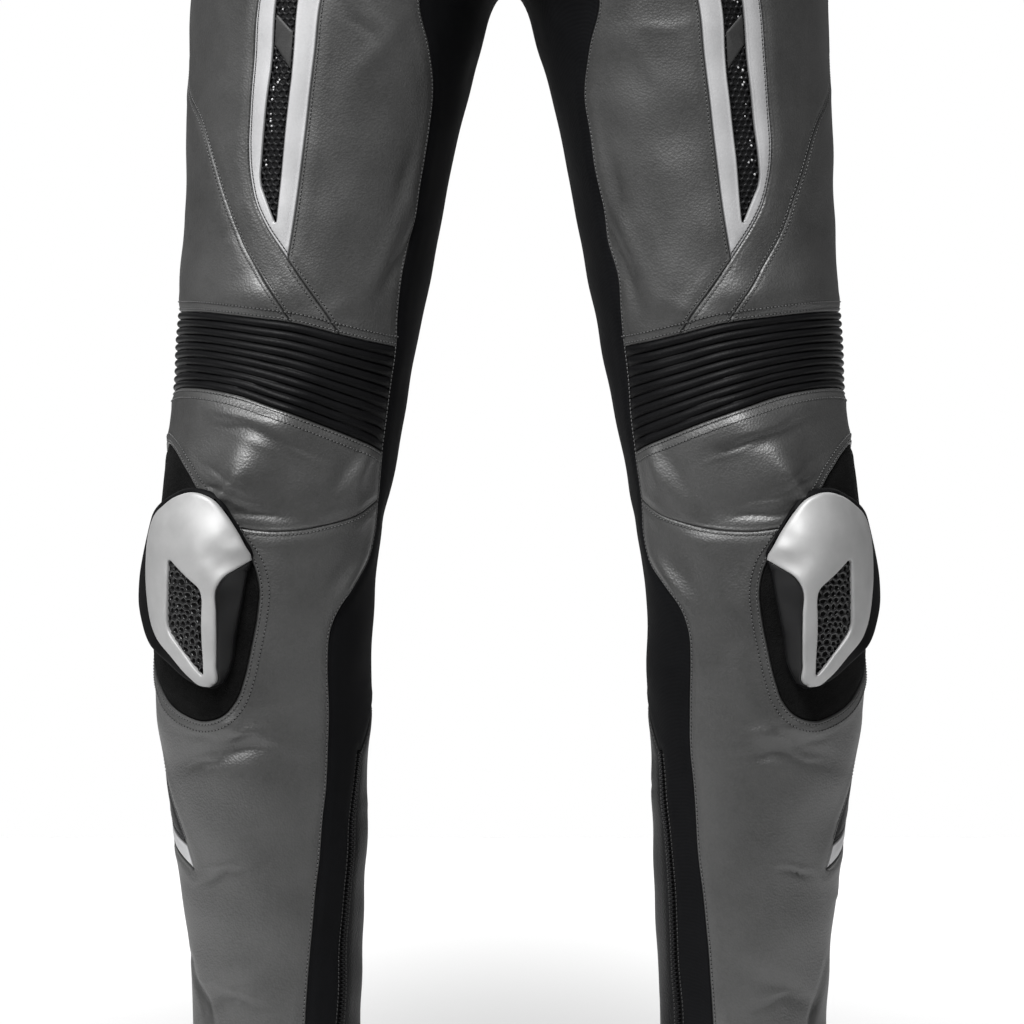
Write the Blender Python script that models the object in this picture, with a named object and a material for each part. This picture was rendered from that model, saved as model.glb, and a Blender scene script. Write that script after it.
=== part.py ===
"""Leather motorcycle trousers in their worn, filled shape, with no wearer.

Metres, +Z up, the front towards -Y. The origin is the middle of the waist opening. Each leg is one
smooth hollow form, given by level sections. A place on it is an angle round the leg and a height:
0 degrees faces the other leg, 90 the front, 180 the outer side and 270 the back. The cut pieces are
areas between named seams on that form. They are made for the wearer's left leg, at +X, and again in
mirror image for the right leg.
"""

import math

import bpy
import numpy as np
from mathutils import Matrix, Vector
from mathutils.geometry import delaunay_2d_cdt

# ---------------------------------------------------------------- driving sizes, in metres
WALL = 0.002
BAND_WALL = 0.003
SEAM_GAP = 0.0003
WAIST_SEAM_Z = -0.045
HEM_Z = -1.050
FLY_BOTTOM_Z = -0.190
FLY_HALF_WIDTH = 0.004
STATION = 0.024
PANEL_SPACING = 0.027
PATCH_SPACING = 0.013

# Seams are drawn as angle against height. One degree round a leg counts as this length there, and
# each stretch between two points is drawn with this many fine steps.
FLAT_DEGREE = 0.0013
FINE_STEPS = 24

# One row for each level of a leg: its height, the distance from the centre plane to its middle,
# half its width, and how far its front and its back lie along Y.
SECTION_COLUMNS = ("z", "middle", "half_width", "front", "back")
SECTIONS = (
    (-1.0500, 0.1560, 0.0540, -0.034, 0.070),
    (-0.9727, 0.1572, 0.0554, -0.039, 0.070),
    (-0.9373, 0.1575, 0.0567, -0.043, 0.072),
    (-0.8787, 0.1601, 0.0613, -0.051, 0.076),
    (-0.8073, 0.1639, 0.0676, -0.062, 0.077),
    (-0.7450, 0.1648, 0.0716, -0.073, 0.068),
    (-0.6787, 0.1646, 0.0725, -0.085, 0.056),
    (-0.6167, 0.1570, 0.0752, -0.092, 0.054),
    (-0.5500, 0.1465, 0.0777, -0.092, 0.060),
    (-0.4967, 0.1380, 0.0820, -0.095, 0.070),
    (-0.4500, 0.1326, 0.0856, -0.098, 0.080),
    (-0.3867, 0.1267, 0.0907, -0.103, 0.093),
    (-0.3300, 0.1183, 0.0968, -0.108, 0.108),
    (-0.2900, 0.1106, 0.1028, -0.112, 0.122),
    (-0.2500, 0.0900, 0.1210, -0.117, 0.138),
    (-0.2100, 0.0680, 0.1390, -0.121, 0.148),
    (-0.1600, 0.0450, 0.1540, -0.122, 0.150),
    (-0.1000, 0.0220, 0.1640, -0.119, 0.142),
    (-0.0400, 0.0060, 0.1630, -0.114, 0.128),
    (0.0000, 0.0000, 0.1580, -0.110, 0.118),
)

# The largest folds: the middle's angle and height, half the length, half the width, the slant
# from level towards the outer side, and how far the wall stands out there.
FOLD_COLUMNS = ("angle", "z", "half_length", "half_width", "slant", "out")
FOLDS = (
    (118.0, -0.604, 0.040, 0.014, -52.0, 0.0040),
    (96.0, -0.592, 0.042, 0.016, -70.0, 0.0045),
    (78.0, -0.634, 0.045, 0.010, 12.0, -0.0030),
    (110.0, -0.575, 0.050, 0.008, 12.0, 0.0025),
    (112.0, -0.790, 0.035, 0.008, -12.0, -0.0028),
    (98.0, -0.778, 0.035, 0.007, 16.0, 0.0022),
    (120.0, -0.948, 0.026, 0.007, -22.0, -0.0020),
    (300.0, -0.640, 0.060, 0.010, 4.0, -0.0040),
    (290.0, -0.610, 0.055, 0.012, -6.0, 0.0035),
    (285.0, -0.680, 0.060, 0.011, 8.0, 0.0035),
    (250.0, -0.655, 0.040, 0.009, -14.0, -0.0030),
    (300.0, -0.275, 0.050, 0.013, -28.0, -0.0035),
)

# Seams as angle and height, each from its first named corner to its last. A point with a name is
# a corner where other seams meet it.
SEAMS = {
    "waist": (
        ("waist_stripe", 108.0, WAIST_SEAM_Z),
        ("waist_side", 188.0, WAIST_SEAM_Z),
    ),
    "hip": (
        ("waist_stripe", 108.0, WAIST_SEAM_Z),
        ("", 107.0, -0.110),
        ("stripe_top", 106.0, -0.185),
    ),
    "stripe_inner": (
        ("stripe_top", 106.0, -0.185),
        ("", 99.5, -0.220),
        ("", 97.7, -0.290),
        ("", 96.7, -0.357),
        ("", 96.5, -0.390),
        ("", 97.3, -0.423),
        ("stripe_tip", 98.9, -0.4647),
    ),
    "stripe_outer": (
        ("stripe_top", 106.0, -0.185),
        ("", 117.0, -0.220),
        ("", 123.5, -0.262),
        ("", 124.3, -0.300),
        ("stripe_shoulder", 123.5, -0.363),
        ("", 122.8, -0.390),
        ("", 120.8, -0.411),
        ("", 117.0, -0.426),
        ("", 110.9, -0.442),
        ("stripe_tip", 98.9, -0.4647),
    ),
    "knee_diagonal_inner": (
        ("stripe_tip", 98.9, -0.4647),
        ("", 89.0, -0.482),
        ("", 77.5, -0.501),
        ("diagonal_inner_end", 69.6, -0.5142),
    ),
    "knee_diagonal_outer": (
        ("waist_side", 188.0, WAIST_SEAM_Z),
        ("", 186.0, -0.120),
        ("", 184.0, -0.205),
        ("", 182.0, -0.290),
        ("", 179.0, -0.347),
        ("", 167.5, -0.362),
        ("", 154.4, -0.3767),
        ("", 142.6, -0.400),
        ("", 132.3, -0.4267),
        ("", 123.6, -0.450),
        ("", 111.5, -0.4733),
        ("", 102.2, -0.490),
        ("diagonal_outer_end", 93.5, -0.5065),
    ),
    "ribs_top": (
        ("ribs_top_inner", 34.8, -0.5218),
        ("", 51.0, -0.5192),
        ("diagonal_inner_end", 69.6, -0.5142),
        ("diagonal_outer_end", 93.5, -0.5065),
        ("", 111.0, -0.5033),
        ("", 140.0, -0.4993),
        ("", 180.0, -0.4980),
        ("ribs_top_outer", 206.0, -0.4985),
    ),
    "ribs_bottom": (
        ("ribs_bottom_inner", 28.2, -0.5917),
        ("", 59.4, -0.5793),
        ("", 78.6, -0.5707),
        ("", 96.0, -0.5627),
        ("", 115.0, -0.5547),
        ("", 135.0, -0.5500),
        ("", 157.0, -0.5487),
        ("", 180.0, -0.5507),
        ("ribs_bottom_outer", 206.0, -0.5530),
    ),
    "ribs_outer": (
        ("ribs_top_outer", 206.0, -0.4985),
        ("ribs_bottom_outer", 206.0, -0.5530),
    ),
    "back_thigh_hem": (
        ("ribs_top_outer", 206.0, -0.4985),
        ("", 235.0, -0.4950),
        ("", 280.0, -0.4930),
        ("back_thigh_inner", 327.0, -0.5000),
    ),
    "gusset_front": (
        ("gusset_front_top", 66.3, FLY_BOTTOM_Z),
        ("", 63.5, -0.240),
        ("", 60.0, -0.290),
        ("", 50.0, -0.322),
        ("", 41.0, -0.355),
        ("", 38.5, -0.395),
        ("", 38.2, -0.427),
        ("", 37.4, -0.451),
        ("", 40.0, -0.476),
        ("", 37.5, -0.500),
        ("ribs_top_inner", 34.8, -0.5218),
        ("", 31.4, -0.5567),
        ("ribs_bottom_inner", 28.2, -0.5917),
        ("knee_seam_inner", 23.1, -0.6227),
        ("", 18.9, -0.643),
        ("", 21.6, -0.663),
        ("", 34.7, -0.679),
        ("", 46.0, -0.6953),
        ("", 51.0, -0.711),
        ("", 52.4, -0.730),
        ("", 51.0, -0.760),
        ("", 51.5, -0.792),
        ("", 54.4, -0.826),
        ("", 57.7, -0.8587),
        ("", 61.7, -0.888),
        ("", 65.2, -0.920),
        ("", 69.5, -0.973),
        ("hem_front", 73.0, HEM_Z),
    ),
    "gusset_back": (
        ("gusset_back_top", 300.0, -0.205),
        ("", 306.0, -0.260),
        ("", 315.0, -0.320),
        ("", 322.0, -0.400),
        ("back_thigh_inner", 327.0, -0.500),
        ("", 330.0, -0.600),
        ("", 331.0, -0.690),
        ("back_knee_inner", 331.0, -0.757),
    ),
    "back_knee_hem": (
        ("wedge_top", 200.0, -0.757),
        ("", 216.0, -0.762),
        ("calf_seam_top", 235.0, -0.764),
        ("", 280.0, -0.762),
        ("back_knee_inner", 331.0, -0.757),
        ("", 358.0, -0.760),
        ("zip_top_back", 380.5, -0.790),
    ),
    "zip_head": (
        ("zip_top_back", 380.5, -0.790),
        ("zip_top_front", 384.0, -0.790),
    ),
    "zip_front": (
        ("zip_top_front", 384.0, -0.790),
        ("", 392.0, -0.838),
        ("", 394.8, -0.861),
        ("", 398.3, -0.915),
        ("", 401.9, -0.973),
        ("zip_hem_front", 404.2, HEM_Z),
    ),
    "zip_back": (
        ("zip_top_back", 380.5, -0.790),
        ("", 388.5, -0.838),
        ("", 391.3, -0.861),
        ("", 394.4, -0.915),
        ("", 397.7, -0.973),
        ("zip_hem_back", 399.9, HEM_Z),
    ),
    "knee_seam": (
        ("knee_seam_inner", 23.1, -0.6227),
        ("", 42.3, -0.6347),
        ("", 61.3, -0.6413),
        ("", 78.2, -0.6440),
        ("", 94.0, -0.6440),
        ("patch_front", 110.8, -0.6407),
    ),
    "patch_lower": (
        ("patch_front", 110.8, -0.6407),
        ("", 102.5, -0.6543),
        ("", 95.0, -0.6680),
        ("", 91.7, -0.6827),
        ("", 92.2, -0.6993),
        ("", 95.5, -0.7227),
        ("", 99.0, -0.7413),
        ("", 103.5, -0.7560),
        ("", 111.0, -0.7660),
        ("patch_bottom", 122.5, -0.7700),
        ("", 136.0, -0.7667),
        ("", 151.0, -0.7580),
        ("", 164.0, -0.7453),
        ("", 179.0, -0.7320),
        ("", 191.0, -0.7140),
        ("", 197.5, -0.6900),
        ("", 198.5, -0.6500),
        ("patch_side", 197.0, -0.6120),
    ),
    "patch_upper": (
        ("patch_side", 197.0, -0.6120),
        ("", 190.5, -0.5940),
        ("", 180.0, -0.5875),
        ("patch_top", 168.0, -0.5860),
        ("", 155.0, -0.5910),
        ("", 141.0, -0.6043),
        ("", 130.0, -0.6173),
        ("", 120.0, -0.6297),
        ("patch_front", 110.8, -0.6407),
    ),
    "patch_bridge": (
        ("patch_side", 197.0, -0.6120),
        ("knee_side", 206.5, -0.6120),
    ),
    "knee_side_upper": (
        ("ribs_bottom_outer", 206.0, -0.5530),
        ("", 206.5, -0.5820),
        ("knee_side", 206.5, -0.6120),
    ),
    "knee_side_lower": (
        ("knee_side", 206.5, -0.6120),
        ("", 208.0, -0.6600),
        ("", 207.5, -0.7100),
        ("", 204.5, -0.7400),
        ("wedge_top", 200.0, -0.757),
    ),
    "wedge_front": (
        ("wedge_top", 200.0, -0.7570),
        ("", 190.0, -0.7670),
        ("", 183.0, -0.7800),
        ("", 176.0, -0.7970),
        ("", 168.5, -0.8110),
        ("", 161.8, -0.8240),
        ("", 156.0, -0.8380),
        ("silver_upper_tip", 150.5, -0.8530),
    ),
    "silver_end": (
        ("silver_upper_tip", 150.5, -0.8530),
        ("silver_lower_tip", 146.8, -0.8690),
    ),
    "silver_upper": (
        ("silver_upper_tip", 150.5, -0.8530),
        ("", 165.0, -0.8460),
        ("", 180.0, -0.8380),
        ("", 207.0, -0.8240),
        ("silver_upper_back", 235.0, -0.8130),
    ),
    "silver_lower": (
        ("silver_lower_tip", 146.8, -0.8690),
        ("", 161.0, -0.8600),
        ("", 177.0, -0.8510),
        ("", 206.0, -0.8370),
        ("silver_lower_back", 235.0, -0.8270),
    ),
    "calf_seam_upper": (
        ("calf_seam_top", 235.0, -0.7640),
        ("silver_upper_back", 235.0, -0.8130),
        ("silver_lower_back", 235.0, -0.8270),
    ),
    "calf_seam_lower": (
        ("silver_lower_back", 235.0, -0.8270),
        ("", 235.0, -0.9300),
        ("hem_outer", 235.0, HEM_Z),
    ),
    "hem": (
        ("hem_front", 73.0, HEM_Z),
        ("hem_outer", 235.0, HEM_Z),
        ("zip_hem_back", 399.9, HEM_Z),
        ("zip_hem_front", 404.2, HEM_Z),
        ("hem_front", 433.0, HEM_Z),
    ),
}

# Each panel is the area inside a round of corners.
PANELS = {
    "thigh_front": (
        "waist_front", "gusset_front_top", "ribs_top_inner", "diagonal_inner_end", "stripe_tip",
        "stripe_top", "waist_stripe",
    ),
    "thigh_outer": (
        "waist_stripe", "stripe_top", "stripe_shoulder", "stripe_tip", "diagonal_inner_end",
        "diagonal_outer_end", "waist_side",
    ),
    "thigh_back": (
        "waist_side", "diagonal_outer_end", "ribs_top_outer", "back_thigh_inner",
        "gusset_back_top", "waist_back",
    ),
    "gusset_inner": (
        "gusset_front_top", "crotch", "gusset_back_top", "back_thigh_inner", "back_knee_inner",
        "zip_top_back", "zip_top_front", "zip_hem_front", "hem_front", "knee_seam_inner",
        "ribs_bottom_inner", "ribs_top_inner",
    ),
    "knee_upper": (
        "ribs_bottom_inner", "knee_seam_inner", "patch_front", "patch_top", "patch_side",
        "knee_side", "ribs_bottom_outer",
    ),
    "shin": (
        "knee_seam_inner", "hem_front", "hem_outer", "silver_lower_back", "silver_lower_tip",
        "silver_upper_tip", "wedge_top", "knee_side", "patch_side", "patch_bottom",
        "patch_front",
    ),
    "back_knee": (
        "ribs_top_outer", "ribs_bottom_outer", "knee_side", "wedge_top", "calf_seam_top",
        "back_knee_inner", "back_thigh_inner",
    ),
    "calf_wedge": (
        "wedge_top", "silver_upper_tip", "silver_upper_back", "calf_seam_top",
    ),
    "calf_strip": (
        "silver_upper_tip", "silver_lower_tip", "silver_lower_back", "silver_upper_back",
    ),
    "calf_back": (
        "calf_seam_top", "silver_upper_back", "silver_lower_back", "hem_outer", "zip_hem_back",
        "zip_top_back", "back_knee_inner",
    ),
}

# The stripe's window, as corners of the inset from its top round its outer side.
INSET = (
    (110.5, -0.212),
    (116.0, -0.240),
    (118.0, -0.290),
    (116.8, -0.340),
    (116.8, -0.376),
    (117.3, -0.403),
    (116.0, -0.410),
    (106.0, -0.437),
    (105.4, -0.390),
    (105.4, -0.345),
    (107.0, -0.290),
    (108.2, -0.240),
)

# Ribs of the stretch panel: outer points of valleys and crests, over a plain inside.
RIBS = 10
ROWS_PER_RIB = 3
RIB_VALLEY = -0.0013
RIB_HEIGHT = 0.0024
RIB_EDGE_SHARE = 0.004
RIB_READING = 0.001
INSET_DEPTH = 0.0006

# The knee slider, as angle, height, and how far its face stands off the leg.
SLIDER_CLEARANCE = 0.0022
SHELL_WALL = 0.004
MESH_RECESS = 0.0015
SLIDER_GAP = 0.0004
BASE_EDGE_WALL = 0.0012
SIDE_STANDOFF = 0.0010
SIDE_RECESS = 0.0006
SHELL_OUTLINE = (
    (129.5, -0.6187, 0.0120),
    (121.3, -0.6224, 0.0120),
    (113.4, -0.6326, 0.0115),
    (105.9, -0.6462, 0.0105),
    (99.4, -0.6600, 0.0090),
)
SHELL_RIDGE = (
    (98.6, -0.6643, 0.0085),
    (103.5, -0.6690, 0.0150),
    (108.6, -0.6750, 0.0215),
    (110.8, -0.6810, 0.0235),
    (111.2, -0.6980, 0.0235),
    (111.2, -0.7142, 0.0225),
    (112.2, -0.7310, 0.0190),
    (113.6, -0.7441, 0.0155),
)
SHELL_LOWER = (
    (117.0, -0.7478, 0.0135),
    (122.0, -0.7470, 0.0130),
    (127.5, -0.7421, 0.0125),
    (140.7, -0.7265, 0.0120),
    (152.9, -0.7142, 0.0115),
    (160.5, -0.7020, 0.0110),
    (166.5, -0.6857, 0.0105),
    (170.0, -0.6653, 0.0105),
    (169.8, -0.6462, 0.0105),
    (163.8, -0.6353, 0.0110),
    (151.5, -0.6271, 0.0115),
    (139.5, -0.6210, 0.0120),
)
SHELL_CROWN = (
    (122.0, -0.6350, 0.0165),
    (112.5, -0.6480, 0.0165),
    (106.0, -0.6600, 0.0145),
    (116.0, -0.6650, 0.0180),
    (125.0, -0.6560, 0.0195),
    (134.0, -0.6440, 0.0180),
    (147.0, -0.6420, 0.0160),
    (158.0, -0.6530, 0.0150),
    (148.0, -0.6620, 0.0165),
    (157.0, -0.6800, 0.0150),
    (148.5, -0.6980, 0.0150),
    (137.0, -0.7160, 0.0160),
    (124.5, -0.7350, 0.0165),
    (114.8, -0.7080, 0.0225),
    (114.8, -0.7280, 0.0190),
    (113.8, -0.6900, 0.0235),
)
MESH_WINDOW = (
    (138.5, -0.6640, 0.0180),
    (129.0, -0.6730, 0.0205),
    (118.9, -0.6829, 0.0225),
    (117.6, -0.6900, 0.0225),
    (117.6, -0.7150, 0.0210),
    (118.3, -0.7387, 0.0170),
    (128.5, -0.7240, 0.0165),
    (139.0, -0.7090, 0.0160),
    (139.5, -0.6860, 0.0170),
)
BASE_INNER = (
    (99.9, -0.6715, 0.0062),
    (101.5, -0.6897, 0.0062),
    (104.4, -0.7129, 0.0062),
    (107.6, -0.7380, 0.0062),
    (111.6, -0.7480, 0.0062),
)
BASE_OUTER = (
    (117.0, -0.7515, 0.0050),
    (127.0, -0.7465, 0.0055),
    (143.0, -0.7310, 0.0060),
    (157.0, -0.7200, 0.0080),
    (170.0, -0.7080, 0.0095),
    (180.0, -0.6920, 0.0100),
    (184.0, -0.6720, 0.0100),
    (183.0, -0.6500, 0.0100),
    (175.5, -0.6350, 0.0095),
    (162.0, -0.6270, 0.0085),
    (148.0, -0.6205, 0.0075),
    (130.0, -0.6155, 0.0060),
    (119.0, -0.6195, 0.0055),
    (110.0, -0.6330, 0.0050),
    (102.0, -0.6480, 0.0050),
    (96.9, -0.6600, 0.0045),
    (97.3, -0.6650, 0.0045),
)

# Zip sliders and pull tabs: lengths along the zip, across it, and out from it.
SLIDER_LENGTH = 0.011
SLIDER_WIDTH = 0.0085
SLIDER_THICKNESS = 0.0030
LUG_THICKNESS = 0.0010
LUG_SPAN = 0.0046
PIN_RADIUS = 0.0006
EYE_BORE = 0.0010
EYE_RADIUS = 0.0020
PIN_STANDOFF = 0.0058
TAB_LENGTH = 0.024
TAB_WIDTH = 0.0062
TAB_THICKNESS = 0.0014
FLY_SLIDER_Z = -0.056
CALF_SLIDER_Z = -1.030
SLIDER_LIFT = 0.0006
TAPE_WALL = 0.0015
CALF_TAPE_DEPTH = 0.0008
FLY_TAPE_DEPTH = 0.0006
TONGUE_TOP = -0.0012
TONGUE_LOW = -0.0036
SMALL_LAP = 0.0004

# The waistband, stood off the panels a little, and its snap. The band is drawn by its turn from
# the front centre; its end runs on past the start by the overlap, above it.
BAND_STANDOFF = 0.0006
BAND_ROWS = 3
START_TURNS = 6
ROUND_TURNS = 36
LAP_TURNS = 8
OVERLAP_ANGLE = 9.0
RAMP_SHARE = 0.9
SNAP_RADIUS = 0.0080
SNAP_THICKNESS = 0.0030
SNAP_EDGE = 0.0008

GREY_LEATHER = ((0.090, 0.090, 0.088), 0.45, 0.0)
BLACK_LEATHER = ((0.012, 0.012, 0.013), 0.50, 0.0)
BLACK_STRETCH = ((0.006, 0.006, 0.007), 0.85, 0.0)
SILVER_LEATHER = ((0.520, 0.520, 0.530), 0.35, 0.3)
PILE = ((0.004, 0.004, 0.004), 0.95, 0.0)
SATIN_METAL = ((0.600, 0.600, 0.610), 0.30, 0.9)
BLACK_PLASTIC = ((0.015, 0.015, 0.016), 0.40, 0.0)
DARK_METAL = ((0.080, 0.080, 0.085), 0.35, 0.9)


# ---------------------------------------------------------------- the leg's form
def smooth_through(places, values, where):
    """A smooth curve through values at ascending places, read at where."""
    slopes = np.gradient(values, places)
    index = np.clip(np.searchsorted(places, where) - 1, 0, len(places) - 2)
    span = places[index + 1] - places[index]
    t = (where - places[index]) / span
    rise = (1 + 2 * t) * (1 - t) ** 2 * values[index] + t * t * (3 - 2 * t) * values[index + 1]
    lean = t * (1 - t) ** 2 * slopes[index] - t * t * (1 - t) * slopes[index + 1]
    return rise + lean * span


SECTION_TABLE = np.array(SECTIONS)


def section(z):
    """Middle, half width, middle of the depth and half depth of a leg at heights z."""
    heights = SECTION_TABLE[:, 0]
    middle, half_width, front, back = (
        smooth_through(heights, SECTION_TABLE[:, column], z) for column in range(1, 5)
    )
    return middle, half_width, (front + back) / 2, (back - front) / 2


def base_point(angle, z):
    middle, half_width, mid_depth, half_depth = section(z)
    turn = np.radians(angle)
    x = middle - half_width * np.cos(turn)
    y = mid_depth - half_depth * np.sin(turn)
    return np.stack([x, y, z], axis=-1)


def outward(angle, z):
    """Unit normal of the leg's form."""
    step_angle = 0.5
    step_z = 0.001
    round_leg = base_point(angle + step_angle, z) - base_point(angle - step_angle, z)
    up_leg = base_point(angle, z + step_z) - base_point(angle, z - step_z)
    normal = np.cross(round_leg, up_leg)
    return normal / np.linalg.norm(normal, axis=-1, keepdims=True)


def degree_length(z):
    """Mean arc length of one degree round the leg, in metres."""
    _, half_width, _, half_depth = section(z)
    return np.radians(1.0) * np.sqrt((half_width**2 + half_depth**2) / 2)


def fold_height(angle, z):
    height = np.zeros_like(z)
    for fold_angle, fold_z, half_length, half_width, slant, out in FOLDS:
        apart = (angle - fold_angle + 180.0) % 360.0 - 180.0
        across = apart * degree_length(z)
        up = z - fold_z
        lean = math.radians(slant)
        along = across * math.cos(lean) + up * math.sin(lean)
        beside = -across * math.sin(lean) + up * math.cos(lean)
        height += out * np.exp(-((along / half_length) ** 2) - (beside / half_width) ** 2)
    return height


def leg_point(angle, z, out=0.0):
    """Places on the wearer's left leg, moved out from its form, never across the centre plane."""
    angle = np.asarray(angle, dtype=float)
    z = np.asarray(z, dtype=float)
    lift = fold_height(angle, z) + out
    places = base_point(angle, z) + outward(angle, z) * lift[..., None]
    places[..., 0] = np.maximum(places[..., 0], SEAM_GAP / 2)
    return places


# ---------------------------------------------------------------- seams
def rise_angle(z, x=0.0):
    """Angle where the front of the leg's form stands x from the centre plane."""
    middle, half_width, _, _ = section(np.asarray(z, dtype=float))
    return np.degrees(np.arccos(np.clip((middle - x) / half_width, -1.0, 1.0)))


def crotch_height():
    """The height where the two legs part, found by halving."""
    low, high = CROTCH_LIMITS
    for _ in range(HALVINGS):
        mid = (low + high) / 2
        middle, half_width, _, _ = section(np.array([mid]))
        if middle[0] > half_width[0]:
            low = mid
        else:
            high = mid
    return high


CROTCH_LIMITS = (-0.285, -0.250)
HALVINGS = 40
CROTCH_POINTS = 8
CROTCH_READINGS = 400
CROTCH_Z = crotch_height()
FRONT_TOP_Z = FLY_BOTTOM_Z - 0.004
BACK_TOP_Z = -0.205


def rise_between(z_start, z_end, x=0.0):
    """Points down the front rise, closer together near the crotch, where it turns under."""
    count = max(2, round(abs(z_end - z_start) / STATION))
    share = np.linspace(0.0, 1.0, count + 1)
    z = z_start + (z_end - z_start) * share
    return np.stack([rise_angle(z, x), z], axis=-1)


def crotch_curve(z_start):
    """The front rise from z_start down to the crotch, even in angle."""
    start = float(rise_angle(np.array([z_start]))[0])
    levels = np.linspace(CROTCH_Z, z_start, CROTCH_READINGS)
    angles = rise_angle(levels)
    angles[0] = 0.0
    wanted = np.linspace(start, 0.0, CROTCH_POINTS)
    heights = np.interp(wanted, angles, levels)
    return np.stack([wanted, heights], axis=-1)


def spaced(curve, spacing):
    """Points along a fine curve, at even arc lengths on the leg."""
    places = leg_point(curve[:, 0], curve[:, 1])
    steps = np.linalg.norm(np.diff(places, axis=0), axis=1)
    travel = np.concatenate([[0.0], np.cumsum(steps)])
    count = max(1, math.ceil(travel[-1] / spacing - 0.2))
    wanted = np.linspace(0.0, travel[-1], count + 1)
    return np.stack([np.interp(wanted, travel, curve[:, k]) for k in (0, 1)], axis=-1)


def smooth_curve(points):
    """A fine smooth curve through points, and the place in it of each point."""
    points = np.array(points)
    scaled = points * np.array([FLAT_DEGREE, 1.0])
    steps = np.linalg.norm(np.diff(scaled, axis=0), axis=1)
    travel = np.concatenate([[0.0], np.cumsum(steps)])
    fine = []
    for start, end in zip(travel[:-1], travel[1:]):
        fine.append(np.linspace(start, end, FINE_STEPS, endpoint=False))
    where = np.concatenate([*fine, travel[-1:]])
    curve = np.stack([smooth_through(travel, points[:, k], where) for k in (0, 1)], axis=-1)
    return curve, [FINE_STEPS * k for k in range(len(points))]


def straight_curve(points):
    points = np.array(points)
    where = np.linspace(0, len(points) - 1, FINE_STEPS * (len(points) - 1) + 1)
    index = np.arange(len(points))
    curve = np.stack([np.interp(where, index, points[:, k]) for k in (0, 1)], axis=-1)
    return curve, [FINE_STEPS * k for k in range(len(points))]


STRAIGHT = ("hem", "calf_seam_upper", "calf_seam_lower", "waist", "ribs_outer")
SPACING_OF = {"patch_lower": 0.014, "patch_upper": 0.014, "ribs_top": 0.021}


def make_edges():
    """Station points of each stretch of seam, keyed by the corners at its two ends."""
    edges = {}
    front_top = (float(rise_angle(np.array([FLY_BOTTOM_Z]), FLY_HALF_WIDTH)[0]), FLY_BOTTOM_Z)
    back_top = (360.0 - float(rise_angle(np.array([BACK_TOP_Z]))[0]), BACK_TOP_Z)
    computed = {"gusset_front_top": front_top, "gusset_back_top": back_top}
    for name, rows in SEAMS.items():
        points = [computed.get(corner, (angle, z)) for corner, angle, z in rows]
        make = straight_curve if name in STRAIGHT else smooth_curve
        curve, index_of = make(points)
        corners = [(k, row[0]) for k, row in enumerate(rows) if row[0]]
        for (k, start), (m, end) in zip(corners[:-1], corners[1:]):
            stretch = curve[index_of[k] : index_of[m] + 1]
            edges[start, end] = spaced(stretch, SPACING_OF.get(name, STATION))
    fly = rise_between(WAIST_SEAM_Z, FLY_BOTTOM_Z, FLY_HALF_WIDTH)
    edges["waist_front", "gusset_front_top"] = fly
    front_rise = crotch_curve(FRONT_TOP_Z)
    edges["gusset_front_top", "crotch"] = np.concatenate([[front_top], front_rise])
    back_rise = crotch_curve(BACK_TOP_Z) * [-1.0, 1.0] + [360.0, 0.0]
    edges["crotch", "gusset_back_top"] = back_rise[::-1]
    upper = rise_between(BACK_TOP_Z, WAIST_SEAM_Z) * [-1.0, 1.0] + [360.0, 0.0]
    edges["gusset_back_top", "waist_back"] = upper
    waist_front = tuple(fly[0])
    waist_back = tuple(upper[-1])
    edges["waist_front", "waist_stripe"] = spaced(
        straight_curve([waist_front, (108.0, WAIST_SEAM_Z)])[0], STATION
    )
    edges["waist_side", "waist_back"] = spaced(
        straight_curve([(188.0, WAIST_SEAM_Z), waist_back])[0], STATION
    )
    return edges


def unwrapped(previous, points):
    """The same points, whole turns away, so that they carry on from the previous one."""
    shift = 360.0 * round((previous[0] - points[0][0]) / 360.0)
    return points + np.array([shift, 0.0])


def corner_loop(edges, corners):
    """The closed round of station points through the corners."""
    loop = []
    for start, end in zip(corners, corners[1:] + corners[:1]):
        if (start, end) in edges:
            points = edges[start, end]
        else:
            points = edges[end, start][::-1]
        if loop:
            points = unwrapped(loop[-1], points)
        loop.extend(points[:-1])
    return np.array(loop)


# ---------------------------------------------------------------- panels
def signed_area(loop):
    x, y = loop[:, 0], loop[:, 1]
    return 0.5 * np.sum(x * np.roll(y, -1) - y * np.roll(x, -1))


def inset_loop(loop, distance):
    """The loop moved inwards by a distance along the cloth, with its sharp corners held."""
    if signed_area(loop) < 0:
        loop = loop[::-1]
    scale = np.stack([degree_length(loop[:, 1]), np.ones(len(loop))], axis=-1)
    before = (loop - np.roll(loop, 1, axis=0)) * scale
    after = (np.roll(loop, -1, axis=0) - loop) * scale
    before /= np.linalg.norm(before, axis=1, keepdims=True)
    after /= np.linalg.norm(after, axis=1, keepdims=True)
    inward_before = np.stack([-before[:, 1], before[:, 0]], axis=-1)
    inward_after = np.stack([-after[:, 1], after[:, 0]], axis=-1)
    middle = inward_before + inward_after
    reach = 2.0 / np.maximum(np.sum(middle * middle, axis=1), 0.12)
    return loop + middle * reach[:, None] * distance / scale


def inside_loop(points, loop):
    """Even-odd test of points against a closed loop."""
    x, y = points[:, 0:1], points[:, 1:2]
    x1, y1 = loop[:, 0], loop[:, 1]
    x2, y2 = np.roll(x1, -1), np.roll(y1, -1)
    crosses = (y1 > y) != (y2 > y)
    with np.errstate(divide="ignore", invalid="ignore"):
        at = x1 + (y - y1) * (x2 - x1) / (y2 - y1)
    return (np.sum(crosses & (x < at), axis=1) % 2) == 1


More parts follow.
